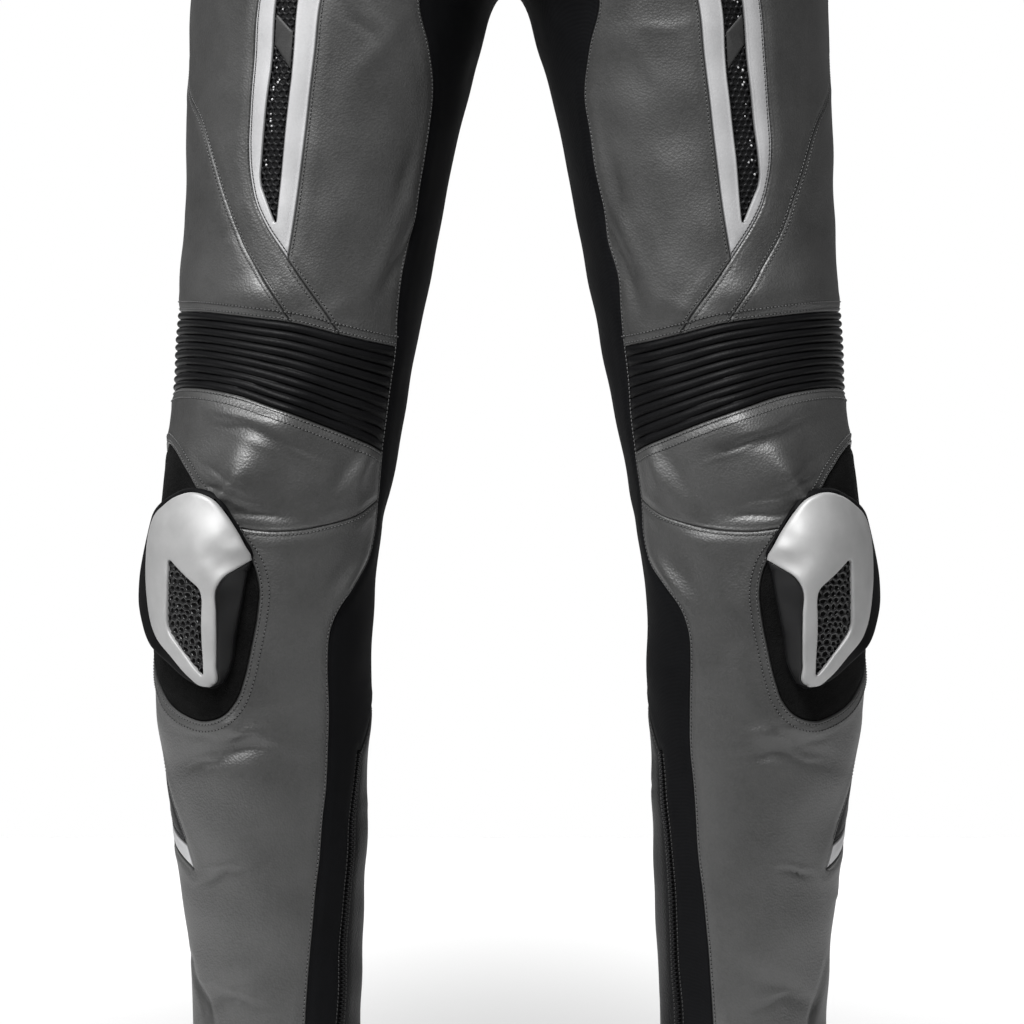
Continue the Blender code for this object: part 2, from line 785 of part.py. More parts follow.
def distance_to_loop(points, loop, scale):
    start = loop * scale
    along = np.roll(start, -1, axis=0) - start
    offset = (points * scale)[:, None, :] - start[None]
    share = np.sum(offset * along, axis=2) / np.maximum(np.sum(along * along, axis=1), 1e-12)
    nearest = offset - np.clip(share, 0.0, 1.0)[..., None] * along
    return np.min(np.linalg.norm(nearest, axis=2), axis=1)


def inner_points(loops, spacing):
    """Staggered rows of points inside the first loop and outside the others."""
    outer = loops[0]
    low, high = outer.min(axis=0), outer.max(axis=0)
    rows = []
    for number, z in enumerate(np.arange(low[1] + spacing / 2, high[1], spacing * 0.87)):
        step = spacing / float(degree_length(np.array([z]))[0])
        first = math.floor(low[0] / step) * step + (step / 2 if number % 2 else 0.0)
        angles = np.arange(first, high[0], step)
        rows.append(np.stack([angles, np.full_like(angles, z)], axis=-1))
    if not rows:
        return np.zeros((0, 2))
    points = np.concatenate(rows)
    keep = inside_loop(points, outer)
    for hole in loops[1:]:
        keep &= ~inside_loop(points, hole)
    points = points[keep]
    for loop in loops:
        if len(points):
            mean_scale = np.array([float(np.mean(degree_length(points[:, 1]))), 1.0])
            points = points[distance_to_loop(points, loop, mean_scale) > 0.55 * spacing]
    return points


def triangulate(loops, points):
    """Vertices and triangles that fill the first loop, less the others."""
    scale = np.array([FLAT_DEGREE, 1.0])
    ring_edges = []
    first = 0
    for loop in loops:
        count = len(loop)
        ring_edges += [(first + k, first + (k + 1) % count) for k in range(count)]
        first += count
    places = np.concatenate([*loops, points]) if len(points) else np.concatenate(loops)
    flat = [Vector(row) for row in places * scale]
    coords, _, faces, *_ = delaunay_2d_cdt(flat, ring_edges, [], 0, 1e-7)
    places = np.array([(c.x, c.y) for c in coords]) / scale
    middles = np.array([places[list(face)].mean(axis=0) for face in faces])
    keep = inside_loop(middles, loops[0])
    for hole in loops[1:]:
        keep &= ~inside_loop(middles, hole)
    return places, [tuple(face) for face, kept in zip(faces, keep) if kept]


def rim_edges(faces):
    """Directed edges that only one face has."""
    directed = {(a, b) for face in faces for a, b in zip(face, face[1:] + face[:1])}
    return [edge for edge in sorted(directed) if (edge[1], edge[0]) not in directed]


def wall_mesh(name, outer, inner, faces, mirrored):
    """A closed wall between two layers of points that share their faces."""
    used = sorted({vertex for face in faces for vertex in face})
    place_of = {vertex: k for k, vertex in enumerate(used)}
    count = len(used)
    verts = np.concatenate([outer[used], inner[used]])
    top = [tuple(place_of[v] for v in face) for face in faces]
    bottom = [tuple(count + v for v in reversed(face)) for face in top]
    sides = []
    for a, b in rim_edges(top):
        sides.append((b, a, count + a, count + b))
    all_faces = top + bottom + sides
    if mirrored:
        verts = verts * np.array([-1.0, 1.0, 1.0])
        all_faces = [tuple(reversed(face)) for face in all_faces]
    mesh = bpy.data.meshes.new(name)
    mesh.from_pydata(verts.tolist(), [], all_faces)
    mesh.shade_smooth()
    mesh.set_sharp_from_angle(angle=math.radians(40))
    return mesh


def material(name, look):
    colour, roughness, metallic = look
    made = bpy.data.materials.new(name)
    made.use_nodes = True
    shader = made.node_tree.nodes["Principled BSDF"]
    shader.inputs["Base Color"].default_value = (*colour, 1.0)
    shader.inputs["Roughness"].default_value = roughness
    shader.inputs["Metallic"].default_value = metallic
    made.diffuse_color = (*colour, 1.0)
    return made


def place(mesh, look, parent):
    obj = bpy.data.objects.new(mesh.name, mesh)
    obj.data.materials.append(material(mesh.name, look))
    bpy.context.scene.collection.objects.link(obj)
    obj.parent = parent
    return obj


def cloth_panel(name, loops, look, leg, spacing=PANEL_SPACING, out=0.0, wall=WALL):
    """One cut piece, on both its faces and round its rim."""
    outer = inset_loop(loops[0], SEAM_GAP / 2)
    holes = [inset_loop(hole, -SEAM_GAP / 2) for hole in loops[1:]]
    places, faces = triangulate([outer, *holes], inner_points([outer, *holes], spacing))
    face_points = leg_point(places[:, 0], places[:, 1], out)
    back_points = leg_point(places[:, 0], places[:, 1], out - wall)
    mesh = wall_mesh(f"{name}_{leg.side}", face_points, back_points, faces, leg.mirrored)
    return place(mesh, look, leg.root)


class Leg:
    """One leg's name ending, whether it is made in mirror image, and what its pieces hang from."""

    def __init__(self, side, mirrored, root):
        self.side = side
        self.mirrored = mirrored
        self.root = root

    def turned(self, places):
        return places * np.array([-1.0 if self.mirrored else 1.0, 1.0, 1.0])


def build_stripe(edges, leg):
    """The pointed silver stripe and the perforated inset in its window."""
    ring = corner_loop(edges, ("stripe_top", "stripe_shoulder", "stripe_tip"))
    window = np.array(INSET)
    cloth_panel("stripe_frame", [ring, window], SILVER_LEATHER, leg)
    cloth_panel("stripe_inset", [window], BLACK_LEATHER, leg, out=-INSET_DEPTH)


def build_ribs(edges, leg):
    """The ribbed stretch panel: rows of points across it, raised between its stitched ends."""
    top = np.concatenate([
        edges["ribs_top_inner", "diagonal_inner_end"][:-1],
        edges["diagonal_inner_end", "diagonal_outer_end"][:-1],
        edges["diagonal_outer_end", "ribs_top_outer"],
    ])
    bottom = spaced(smooth_curve([row[1:] for row in SEAMS["ribs_bottom"]])[0], RIB_READING)
    share = np.linspace(0, len(bottom) - 1, len(top))
    bottom = np.stack(
        [np.interp(share, np.arange(len(bottom)), bottom[:, k]) for k in (0, 1)], axis=-1
    )
    rows = RIBS * ROWS_PER_RIB
    down = np.linspace(RIB_EDGE_SHARE, 1.0 - RIB_EDGE_SHARE, rows + 1)[:, None, None]
    grid = top[None] + (bottom - top)[None] * down
    end_gap = SEAM_GAP / degree_length(grid[:, :, 1])
    grid[:, 0, 0] += end_gap[:, 0]
    grid[:, -1, 0] -= end_gap[:, -1]
    phase = np.abs(np.sin(np.pi * np.arange(rows + 1) / ROWS_PER_RIB))[:, None]
    fade = np.ones(len(top))
    fade[[0, -1]] = 0.0
    out = RIB_VALLEY + RIB_HEIGHT * phase * fade[None]
    columns = len(top)
    faces = []
    for row in range(rows):
        for column in range(columns - 1):
            a = row * columns + column
            faces.append((a, a + columns, a + columns + 1, a + 1))
    angle, z = grid[..., 0].ravel(), grid[..., 1].ravel()
    crests = leg_point(angle, z, out.ravel())
    plain = leg_point(angle, z, np.full(out.size, RIB_VALLEY - WALL))
    mesh = wall_mesh(f"ribs_{leg.side}", crests, plain, faces, leg.mirrored)
    place(mesh, BLACK_LEATHER, leg.root)


def closed_rows(*tables):
    return np.array([row for table in tables for row in table])


def build_slider(edges, leg):
    """The pile patch and the four moulded pieces of the knee slider on it."""
    patch = corner_loop(edges, ("patch_front", "patch_bottom", "patch_side", "patch_top"))
    cloth_panel("slider_patch", [patch], PILE, leg, spacing=PATCH_SPACING)

    outline = closed_rows(SHELL_OUTLINE, SHELL_RIDGE, SHELL_LOWER)
    window = closed_rows(MESH_WINDOW)
    foot = closed_rows(BASE_INNER, BASE_OUTER)
    crown = closed_rows(SHELL_CROWN)
    loops = [foot[:, :2], outline[:, :2], window[:, :2]]
    heights = np.concatenate([foot, outline, window, crown])
    places, faces = fill_nested(loops, crown[:, :2])
    top = heights[:, 2]

    shell_places = range(len(foot), len(heights))
    middles = np.array([places[list(face)].mean(axis=0) for face in faces])
    in_outline = inside_loop(middles, loops[1])
    in_window = inside_loop(middles, loops[2])
    ridge_first = len(foot) + len(SHELL_OUTLINE)
    ridge = set(range(ridge_first, ridge_first + len(SHELL_RIDGE)))
    inner_foot = set(range(len(BASE_INNER)))
    side_faces = [face for face in faces if set(face) <= ridge | inner_foot]
    shell_faces = [f for f, a, b in zip(faces, in_outline, in_window) if a and not b]

    base_top = top.copy()
    for vertex in shell_places:
        base_top[vertex] -= SHELL_WALL + SLIDER_GAP
    for vertex in inner_foot:
        base_top[vertex] = SLIDER_CLEARANCE + BASE_EDGE_WALL
    add_layer("slider_base", places, base_top, SLIDER_CLEARANCE, faces, BLACK_PLASTIC, leg)
    add_layer("slider_shell", places, top, top - SHELL_WALL, shell_faces, SATIN_METAL, leg)

    side_top = top.copy()
    side_floor = base_top + SIDE_STANDOFF
    for vertex in ridge:
        side_top[vertex] -= SIDE_RECESS
    side_places = shrink_faces(places, side_faces, SLIDER_GAP)
    add_layer("slider_side", side_places, side_top, side_floor, side_faces, BLACK_PLASTIC, leg)

    mesh_loop = inset_loop(window[:, :2], SLIDER_GAP)
    if signed_area(window[:, :2]) < 0:
        window = window[::-1]
    mesh_places, mesh_faces = triangulate([mesh_loop], np.zeros((0, 2)))
    mesh_top = window[:, 2] - MESH_RECESS
    mesh_floor = window[:, 2] - SHELL_WALL
    add_layer("slider_mesh", mesh_places, mesh_top, mesh_floor, mesh_faces, DARK_METAL, leg)


def fill_nested(loops, points):
    """One triangulation of the first loop that keeps the edges of the loops inside it."""
    scale = np.array([FLAT_DEGREE, 1.0])
    ring_edges = []
    first = 0
    for loop in loops:
        count = len(loop)
        ring_edges += [(first + k, first + (k + 1) % count) for k in range(count)]
        first += count
    places = np.concatenate([*loops, points])
    flat = [Vector(row) for row in places * scale]
    _, _, faces, *_ = delaunay_2d_cdt(flat, ring_edges, [], 0, 1e-7)
    middles = np.array([places[list(face)].mean(axis=0) for face in faces])
    keep = inside_loop(middles, loops[0])
    return places, [tuple(face) for face, kept in zip(faces, keep) if kept]


def shrink_faces(places, faces, distance):
    """The places with the rim of an area of faces moved in by a distance along the leg."""
    following = dict(rim_edges(faces))
    first = next(iter(following))
    order = [first]
    while following[order[-1]] != first:
        order.append(following[order[-1]])
    moved = places.copy()
    moved[order] = inset_loop(places[order], distance)
    return moved


def add_layer(name, places, top, floor, faces, look, leg):
    """A moulded layer between two heights off the leg's form."""
    angle, z = places[:, 0], places[:, 1]
    upper = leg_point(angle, z, top)
    lower = leg_point(angle, z, np.broadcast_to(floor, z.shape))
    mesh = wall_mesh(f"{name}_{leg.side}", upper, lower, faces, leg.mirrored)
    place(mesh, look, leg.root)


# ---------------------------------------------------------------- zips
def strip_between(name, near, far, out, wall, look, leg):
    """A narrow strip of zip tape between two seams, set back from the cloth beside it."""
    share = np.linspace(0.0, 1.0, len(near))
    index = np.linspace(0.0, 1.0, len(far))
    far = np.stack([np.interp(share, index, far[:, k]) for k in (0, 1)], axis=-1)
    loop = np.concatenate([near, far[::-1]])
    cloth_panel(name, [loop], look, leg, spacing=1.0, out=out, wall=wall)


def box_mesh(name, size, middle):
    mesh = bpy.data.meshes.new(name)
    corners = [
        (middle[0] + i * size[0] / 2, middle[1] + j * size[1] / 2, middle[2] + k * size[2] / 2)
        for i in (-1, 1) for j in (-1, 1) for k in (-1, 1)
    ]
    faces = [(0, 1, 3, 2), (4, 6, 7, 5), (0, 4, 5, 1), (2, 3, 7, 6), (0, 2, 6, 4), (1, 5, 7, 3)]
    mesh.from_pydata(corners, [], faces)
    return mesh


def rod_mesh(name, radius, length, sides=12):
    """A rod along X through the origin."""
    ring = [(radius * math.cos(t), radius * math.sin(t)) for t in np.arange(sides) * math.tau / sides]
    verts = [(-length / 2, y, z) for y, z in ring] + [(length / 2, y, z) for y, z in ring]
    faces = [tuple(reversed(range(sides))), tuple(range(sides, 2 * sides))]
    faces += [(k, (k + 1) % sides, sides + (k + 1) % sides, sides + k) for k in range(sides)]
    mesh = bpy.data.meshes.new(name)
    mesh.from_pydata(verts, [], faces)
    return mesh


def joined(name, meshes, cut=None):
    """The union of meshes, less another, as one mesh."""
    base = bpy.data.objects.new(name, meshes[0])
    bpy.context.scene.collection.objects.link(base)
    helpers = []
    for mesh, operation in [(m, "UNION") for m in meshes[1:]] + ([(cut, "DIFFERENCE")] if cut else []):
        helper = bpy.data.objects.new(f"{name}_helper", mesh)
        bpy.context.scene.collection.objects.link(helper)
        modifier = base.modifiers.new(operation, "BOOLEAN")
        modifier.operation = operation
        modifier.object = helper
        helpers.append(helper)
    graph = bpy.context.evaluated_depsgraph_get()
    result = bpy.data.meshes.new_from_object(base.evaluated_get(graph))
    result.name = name
    for helper in [*helpers, base]:
        bpy.data.objects.remove(helper)
    return result


def zip_fitting(names, foot, normal, parent):
    """A zip slider standing on foot, and its pull tab hung from the pin on the slider's front.

    Both are drawn about the pin: X across the zip, -Y out from the cloth and Z up. They are then
    turned so that -Y lies along the level normal of the cloth.
    """
    slider_name, pull_name = names
    body_back = PIN_STANDOFF - SLIDER_LIFT
    body = box_mesh(
        "body", (SLIDER_WIDTH, SLIDER_THICKNESS, SLIDER_LENGTH),
        (0.0, body_back - SLIDER_THICKNESS / 2, 0.0),
    )
    lug_depth = body_back - SLIDER_THICKNESS + EYE_RADIUS + SMALL_LAP
    lugs = [
        box_mesh(
            "lug", (LUG_THICKNESS, lug_depth, 2 * EYE_RADIUS),
            (end * (LUG_SPAN + LUG_THICKNESS) / 2, lug_depth / 2 - EYE_RADIUS, 0.0),
        )
        for end in (-1, 1)
    ]
    pin = rod_mesh("pin", PIN_RADIUS, LUG_SPAN + 1.6 * LUG_THICKNESS)
    slider = joined(slider_name, [body, *lugs, pin])
    eye = rod_mesh("eye", EYE_RADIUS, LUG_SPAN - 2 * SEAM_GAP, sides=16)
    tongue = box_mesh(
        "tongue", (LUG_SPAN - 2 * SEAM_GAP, TAB_THICKNESS, TONGUE_TOP - TONGUE_LOW),
        (0.0, 0.0, (TONGUE_TOP + TONGUE_LOW) / 2),
    )
    tab_top = TONGUE_LOW + SMALL_LAP
    tab = box_mesh(
        "tab", (TAB_WIDTH, TAB_THICKNESS - SMALL_LAP / 4, TAB_LENGTH + tab_top),
        (0.0, 0.0, (tab_top - TAB_LENGTH) / 2),
    )
    bore = rod_mesh("bore", EYE_BORE, LUG_SPAN * 2, sides=16)
    pull = joined(pull_name, [eye, tongue, tab], cut=bore)
    across = Vector(normal).cross(Vector((0.0, 0.0, 1.0))).normalized() * -1.0
    level = Vector(normal).normalized()
    pin_place = Vector(foot) + level * PIN_STANDOFF
    turn = Matrix((across, -level, Vector((0.0, 0.0, 1.0)))).transposed().to_4x4()
    for mesh in (slider, pull):
        obj = place(mesh, DARK_METAL, parent)
        obj.matrix_world = Matrix.Translation(pin_place) @ turn


def level_normal(angle, z):
    normal = outward(np.array([angle]), np.array([z]))[0]
    normal[2] = 0.0
    return normal / np.linalg.norm(normal)


def build_calf_zip(edges, leg):
    near = edges["zip_top_back", "zip_hem_back"]
    far = edges["zip_top_front", "zip_hem_front"]
    strip_between("calf_zip", near, far, -CALF_TAPE_DEPTH, TAPE_WALL, BLACK_STRETCH, leg)
    angle = float(np.interp(-CALF_SLIDER_Z, -near[:, 1], (near[:, 0] + far[:, 0]) / 2)) - 360.0
    foot = leg_point(np.array([angle]), np.array([CALF_SLIDER_Z]))[0]
    normal = level_normal(angle, np.float64(CALF_SLIDER_Z))
    names = (f"zip_slider_{leg.side}", f"zip_pull_{leg.side}")
    zip_fitting(names, leg.turned(foot), leg.turned(normal), leg.root)


# ---------------------------------------------------------------- waist
def fly_depth(z):
    """Where along Y the fly's tape lies, set back between the two front edges."""
    edge = rise_angle(z, FLY_HALF_WIDTH)
    return base_point(edge, z)[:, 1] + FLY_TAPE_DEPTH


def build_fly(edges, root):
    """The fly's zip tape between the two fronts, with its slider and pull at the top."""
    z = edges["waist_front", "gusset_front_top"][:, 1].copy()
    z[0] -= SEAM_GAP / 2
    z[-1] += SEAM_GAP / 2
    half = FLY_HALF_WIDTH - SEAM_GAP
    front, back, faces = [], [], []
    for x in (-half, 0.0, half):
        y = fly_depth(z)
        front.append(np.stack([np.full_like(z, x), y, z], axis=-1))
        back.append(np.stack([np.full_like(z, x), y + TAPE_WALL, z], axis=-1))
    count = len(z)
    for column in range(2):
        for row in range(count - 1):
            a = column * count + row
            faces.append((a, a + 1, a + 1 + count, a + count))
    mesh = wall_mesh("fly_zip", np.concatenate(front), np.concatenate(back), faces, False)
    place(mesh, BLACK_STRETCH, root)
    level = np.array([FLY_SLIDER_Z])
    foot = (0.0, float(base_point(rise_angle(level, FLY_HALF_WIDTH), level)[0, 1]), FLY_SLIDER_Z)
    zip_fitting(("fly_slider", "fly_pull"), foot, (0.0, -1.0, 0.0), root)


def waist_place(turn, z, out):
    """A place on the waistband, by its turn round the waist from the front centre."""
    turn = np.asarray(turn, dtype=float)
    across = np.mod(turn, 360.0)
    left = across <= 180.0
    share = np.where(left, across, 360.0 - across) / 180.0
    start = rise_angle(z)
    angle = start + (360.0 - 2 * start) * share
    spot = base_point(angle, z) + outward(angle, z) * out[..., None]
    spot[..., 0] = np.where(left, spot[..., 0], -spot[..., 0])
    return spot


def build_waistband(root):
    """A band sewn round the waist; its end on the right laps over the start."""
    turns = np.concatenate([
        np.linspace(-OVERLAP_ANGLE, OVERLAP_ANGLE, START_TURNS),
        np.linspace(OVERLAP_ANGLE, 360.0 - 2 * OVERLAP_ANGLE, ROUND_TURNS)[1:],
        np.linspace(360.0 - 2 * OVERLAP_ANGLE, 360.0 + OVERLAP_ANGLE, LAP_TURNS)[1:],
    ])
    rise = np.clip((turns - 360.0 + 2 * OVERLAP_ANGLE) / (RAMP_SHARE * OVERLAP_ANGLE), 0.0, 1.0)
    lift = BAND_STANDOFF + (BAND_WALL + 2 * SEAM_GAP) * rise * rise * (3 - 2 * rise)
    heights = np.linspace(WAIST_SEAM_Z + SEAM_GAP / 2, 0.0, BAND_ROWS)
    outer, inner, faces = [], [], []
    for z in heights:
        level = np.full_like(turns, z)
        outer.append(waist_place(turns, level, lift))
        inner.append(waist_place(turns, level, lift - BAND_WALL))
    count = len(turns)
    for row in range(BAND_ROWS - 1):
        for column in range(count - 1):
            a = row * count + column
            faces.append((a, a + 1, a + 1 + count, a + count))
    mesh = wall_mesh("waistband", np.concatenate(outer), np.concatenate(inner), faces, False)
    place(mesh, GREY_LEATHER, root)


def build_snap(root):
    """The snap's domed cap on the lapped end of the band."""
    height = np.array([WAIST_SEAM_Z / 2])
    band_face = BAND_STANDOFF + BAND_WALL + 2 * SEAM_GAP
    face = waist_place(np.array([360.0]), height, np.array([band_face]))[0]
    face[0] = 0.0
    normal = outward(rise_angle(height), height)[0]
    normal[0] = 0.0
    normal = Vector(normal).normalized()
    bpy.ops.mesh.primitive_cylinder_add(vertices=32, radius=SNAP_RADIUS, depth=SNAP_THICKNESS)
    snap = bpy.context.active_object
    snap.name = "snap"
    snap.data.name = "snap"
    snap.location = Vector(face) + normal * (SNAP_THICKNESS / 2 + 2 * SEAM_GAP)
    snap.rotation_mode = "QUATERNION"
    snap.rotation_quaternion = Vector((0.0, 0.0, 1.0)).rotation_difference(normal)
    bevel = snap.modifiers.new("edge", "BEVEL")
    bevel.width = SNAP_EDGE
    bevel.segments = 2
    snap.data.materials.append(material("snap", DARK_METAL))
    snap.parent = root


LOOKS = {
    "gusset_inner": BLACK_STRETCH,
    "back_knee": BLACK_STRETCH,
    "calf_wedge": BLACK_LEATHER,
    "calf_back": BLACK_LEATHER,
    "calf_strip": SILVER_LEATHER,
}


def build():
    for obj in list(bpy.data.objects):
        bpy.data.objects.remove(obj)
    root = bpy.data.objects.new("trousers", None)
    bpy.context.scene.collection.objects.link(root)
    edges = make_edges()
    for side, mirrored in (("l", False), ("r", True)):
        leg = Leg(side, mirrored, root)
        for name, corners in PANELS.items():
            loop = corner_loop(edges, corners)
            cloth_panel(name, [loop], LOOKS.get(name, GREY_LEATHER), leg)
        build_stripe(edges, leg)
        build_ribs(edges, leg)
        build_slider(edges, leg)
        build_calf_zip(edges, leg)
    build_waistband(root)
    build_fly(edges, root)
    build_snap(root)


build()
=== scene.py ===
import math

import bpy
import numpy as np
from mathutils import Matrix, Vector
from mathutils.geometry import delaunay_2d_cdt


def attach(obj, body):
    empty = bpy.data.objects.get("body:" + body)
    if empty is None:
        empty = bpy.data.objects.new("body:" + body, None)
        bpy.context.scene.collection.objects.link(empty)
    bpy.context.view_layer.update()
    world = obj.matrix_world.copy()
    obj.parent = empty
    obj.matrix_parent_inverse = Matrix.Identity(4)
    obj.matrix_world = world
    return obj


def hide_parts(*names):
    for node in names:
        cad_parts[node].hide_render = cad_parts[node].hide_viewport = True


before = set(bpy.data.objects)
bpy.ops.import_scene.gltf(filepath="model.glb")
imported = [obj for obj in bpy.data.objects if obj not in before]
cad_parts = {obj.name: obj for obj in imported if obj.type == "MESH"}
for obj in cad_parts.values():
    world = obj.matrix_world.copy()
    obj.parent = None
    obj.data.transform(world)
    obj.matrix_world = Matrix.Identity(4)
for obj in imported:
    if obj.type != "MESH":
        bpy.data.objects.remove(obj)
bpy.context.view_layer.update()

# ---------------------------------------------------------------- leather panels of the legs
# Cowhide 2 mm thick, cut to shape and sewn round each leg: fronts, side panels, backs with the
# seat, knee caps and shins in grey, calf backs and wedges in black. Each is a thin shell on the
# worn form of its solid, its edges rolled down to the seams and creased where the leg has bent.
WALL = 0.002
SEAM_GAP = 0.0001
WAIST_SEAM_Z = -0.045
HEM_Z = -1.050
FLY_BOTTOM_Z = -0.190
FLY_HALF_WIDTH = 0.004
BACK_TOP_Z = -0.205
FRONT_TOP_Z = FLY_BOTTOM_Z - 0.004
STATION = 0.0032
FLAT_DEGREE = 0.0013
FLAT_SCALE = np.array([FLAT_DEGREE, 1.0])
FINE_STEPS = 24
ASIDE = 0.5
ABOVE = 0.001

# Level sections of a leg: height, middle from the centre plane, half width, front and back.
SECTIONS = np.array((
    (-1.0500, 0.1560, 0.0540, -0.034, 0.070),
    (-0.9727, 0.1549, 0.0554, -0.039, 0.070),
    (-0.9373, 0.1552, 0.0567, -0.043, 0.072),
    (-0.8787, 0.1577, 0.0613, -0.051, 0.076),
    (-0.8073, 0.1619, 0.0676, -0.062, 0.077),
    (-0.7450, 0.1641, 0.0723, -0.073, 0.068),
    (-0.6787, 0.1632, 0.0738, -0.085, 0.056),
    (-0.6167, 0.1557, 0.0762, -0.092, 0.054),
    (-0.5500, 0.1447, 0.0784, -0.092, 0.060),
    (-0.4967, 0.1380, 0.0820, -0.095, 0.070),
    (-0.4500, 0.1316, 0.0848, -0.098, 0.080),
    (-0.3867, 0.1249, 0.0904, -0.103, 0.093),
    (-0.3300, 0.1167, 0.0962, -0.108, 0.108),
    (-0.2900, 0.1096, 0.1022, -0.112, 0.122),
    (-0.2500, 0.0894, 0.1208, -0.117, 0.138),
    (-0.2100, 0.0680, 0.1390, -0.121, 0.148),
    (-0.1600, 0.0450, 0.1540, -0.122, 0.150),
    (-0.1000, 0.0220, 0.1640, -0.119, 0.142),
    (-0.0400, 0.0060, 0.1630, -0.114, 0.128),
    (0.0000, 0.0000, 0.1580, -0.110, 0.118),
))
# Large folds of the form: middle angle and height, half length, half width, slant, and how far out.
FOLDS = (
    (118.0, -0.604, 0.04, 0.014, -52.0, 0.004),
    (96.0, -0.592, 0.042, 0.016, -70.0, 0.0045),
    (78.0, -0.634, 0.045, 0.01, 12.0, -0.003),
    (110.0, -0.575, 0.05, 0.008, 12.0, 0.0025),
    (112.0, -0.79, 0.035, 0.008, -12.0, -0.0028),
    (98.0, -0.778, 0.035, 0.007, 16.0, 0.0022),
    (120.0, -0.948, 0.026, 0.007, -22.0, -0.002),
    (300.0, -0.64, 0.06, 0.01, 4.0, -0.004),
    (290.0, -0.61, 0.055, 0.012, -6.0, 0.0035),
    (285.0, -0.68, 0.06, 0.011, 8.0, 0.0035),
    (250.0, -0.655, 0.04, 0.009, -14.0, -0.003),
    (300.0, -0.275, 0.05, 0.013, -28.0, -0.0035),
)
# Creases that show on the front, placed by distance from the centre plane and height: then half
# length, half width, slant up towards the outer side in degrees, and how far out.
CREASES = (
    (0.1913, -0.6140, 0.017, 0.0021, 27.0, -0.0007),
    (0.1667, -0.6335, 0.020, 0.0025, 10.0, -0.0008),
    (0.1700, -0.6285, 0.018, 0.0025, 16.0, 0.0007),
    (0.1775, -0.6090, 0.026, 0.0120, 84.0, 0.0048),
    (0.1790, -0.5665, 0.024, 0.0066, 13.0, 0.0026),
    (0.1710, -0.5795, 0.034, 0.0046, 17.0, -0.0017),
    (0.1560, -0.5850, 0.030, 0.0050, 20.0, 0.0012),
    (0.1880, -0.6215, 0.016, 0.0052, -52.0, 0.0038),
    (0.1860, -0.6085, 0.015, 0.0020, 24.0, -0.0006),
    (0.1600, -0.5860, 0.022, 0.0020, 17.0, -0.0006),
    (0.1480, -0.5900, 0.020, 0.0018, 22.0, 0.0005),
    (0.1013, -0.6033, 0.020, 0.0070, -68.0, 0.0020),
    (0.1120, -0.6060, 0.022, 0.0060, -62.0, -0.0016),
    (0.1047, -0.6767, 0.026, 0.0060, -50.0, 0.0022),
    (0.1140, -0.6690, 0.024, 0.0065, -46.0, -0.0012),
    (0.1780, -0.7820, 0.015, 0.0024, -15.0, -0.0007),
    (0.1760, -0.7775, 0.013, 0.0024, -12.0, 0.0006),
    (0.2020, -0.7805, 0.012, 0.0022, 12.0, -0.0006),
    (0.1990, -0.7970, 0.015, 0.0026, -5.0, -0.0008),
    (0.2000, -0.7925, 0.013, 0.0024, -8.0, 0.0006),
    (0.1790, -0.7915, 0.018, 0.0034, -3.0, -0.0008),
    (0.1903, -0.8707, 0.012, 0.0018, -9.0, -0.0009),
    (0.1900, -0.8670, 0.011, 0.0018, -9.0, 0.0006),
    (0.1790, -0.9567, 0.016, 0.0024, 15.0, -0.0006),
    (0.1850, -0.9500, 0.014, 0.0026, 10.0, 0.0006),
    (0.2030, -0.9590, 0.024, 0.0036, 62.0, -0.0018),
    (0.1600, -0.9200, 0.030, 0.0150, -42.0, 0.0016),
    (0.0720, -0.4600, 0.030, 0.0060, -73.0, -0.0022),
    (0.0800, -0.4560, 0.028, 0.0070, -70.0, 0.0018),
    (0.0700, -0.4100, 0.022, 0.0060, -80.0, -0.0014),
    (0.1713, -0.4867, 0.030, 0.0105, 5.0, 0.0034),
    (0.2000, -0.4700, 0.022, 0.0090, -30.0, 0.0014),
    (0.1000, -0.6050, 0.020, 0.0100, 80.0, 0.0018),
    (0.1560, -0.7000, 0.040, 0.0100, 84.0, 0.0014),
    (0.1200, -0.5000, 0.022, 0.0070, -20.0, 0.0012),
    (0.0880, -0.3300, 0.020, 0.0080, -55.0, 0.0010),
)

# Patches of smaller creases out of the photograph's sight: angles and heights that they lie
# between, how many, their longest half length and widest half width, slant, and depth.
WORN_AREAS = (
    (215.0, 325.0, -0.735, -0.575, 15, 0.034, 0.0060, 0.0, 0.0022),
    (205.0, 330.0, -0.560, -0.480, 6, 0.028, 0.0060, 0.0, 0.0013),
    (280.0, 345.0, -0.400, -0.270, 6, 0.030, 0.0070, -35.0, 0.0018),
    (205.0, 300.0, -0.345, -0.215, 6, 0.040, 0.0090, -30.0, 0.0018),
    (240.0, 370.0, -1.020, -0.800, 9, 0.022, 0.0045, 0.0, 0.0012),
    (165.0, 230.0, -1.010, -0.880, 5, 0.018, 0.0035, 20.0, 0.0010),
    (125.0, 180.0, -0.480, -0.400, 4, 0.024, 0.0060, -18.0, 0.0010),
    (62.0, 100.0, -0.320, -0.230, 5, 0.026, 0.0050, 28.0, 0.0014),
    (100.0, 175.0, -0.180, -0.070, 4, 0.028, 0.0080, 20.0, 0.0010),
)

# Creases narrower than FINE_CREASE are cut deeper, bend a little, and get painted shade in their
# troughs and a painted highlight on their ridges.
FINE_CREASE = 0.005
FINE_CREASE_DEPTH = 1.9
CREASE_SHIFT = 0.0016
CREASE_FULL_SHADE = 0.0020


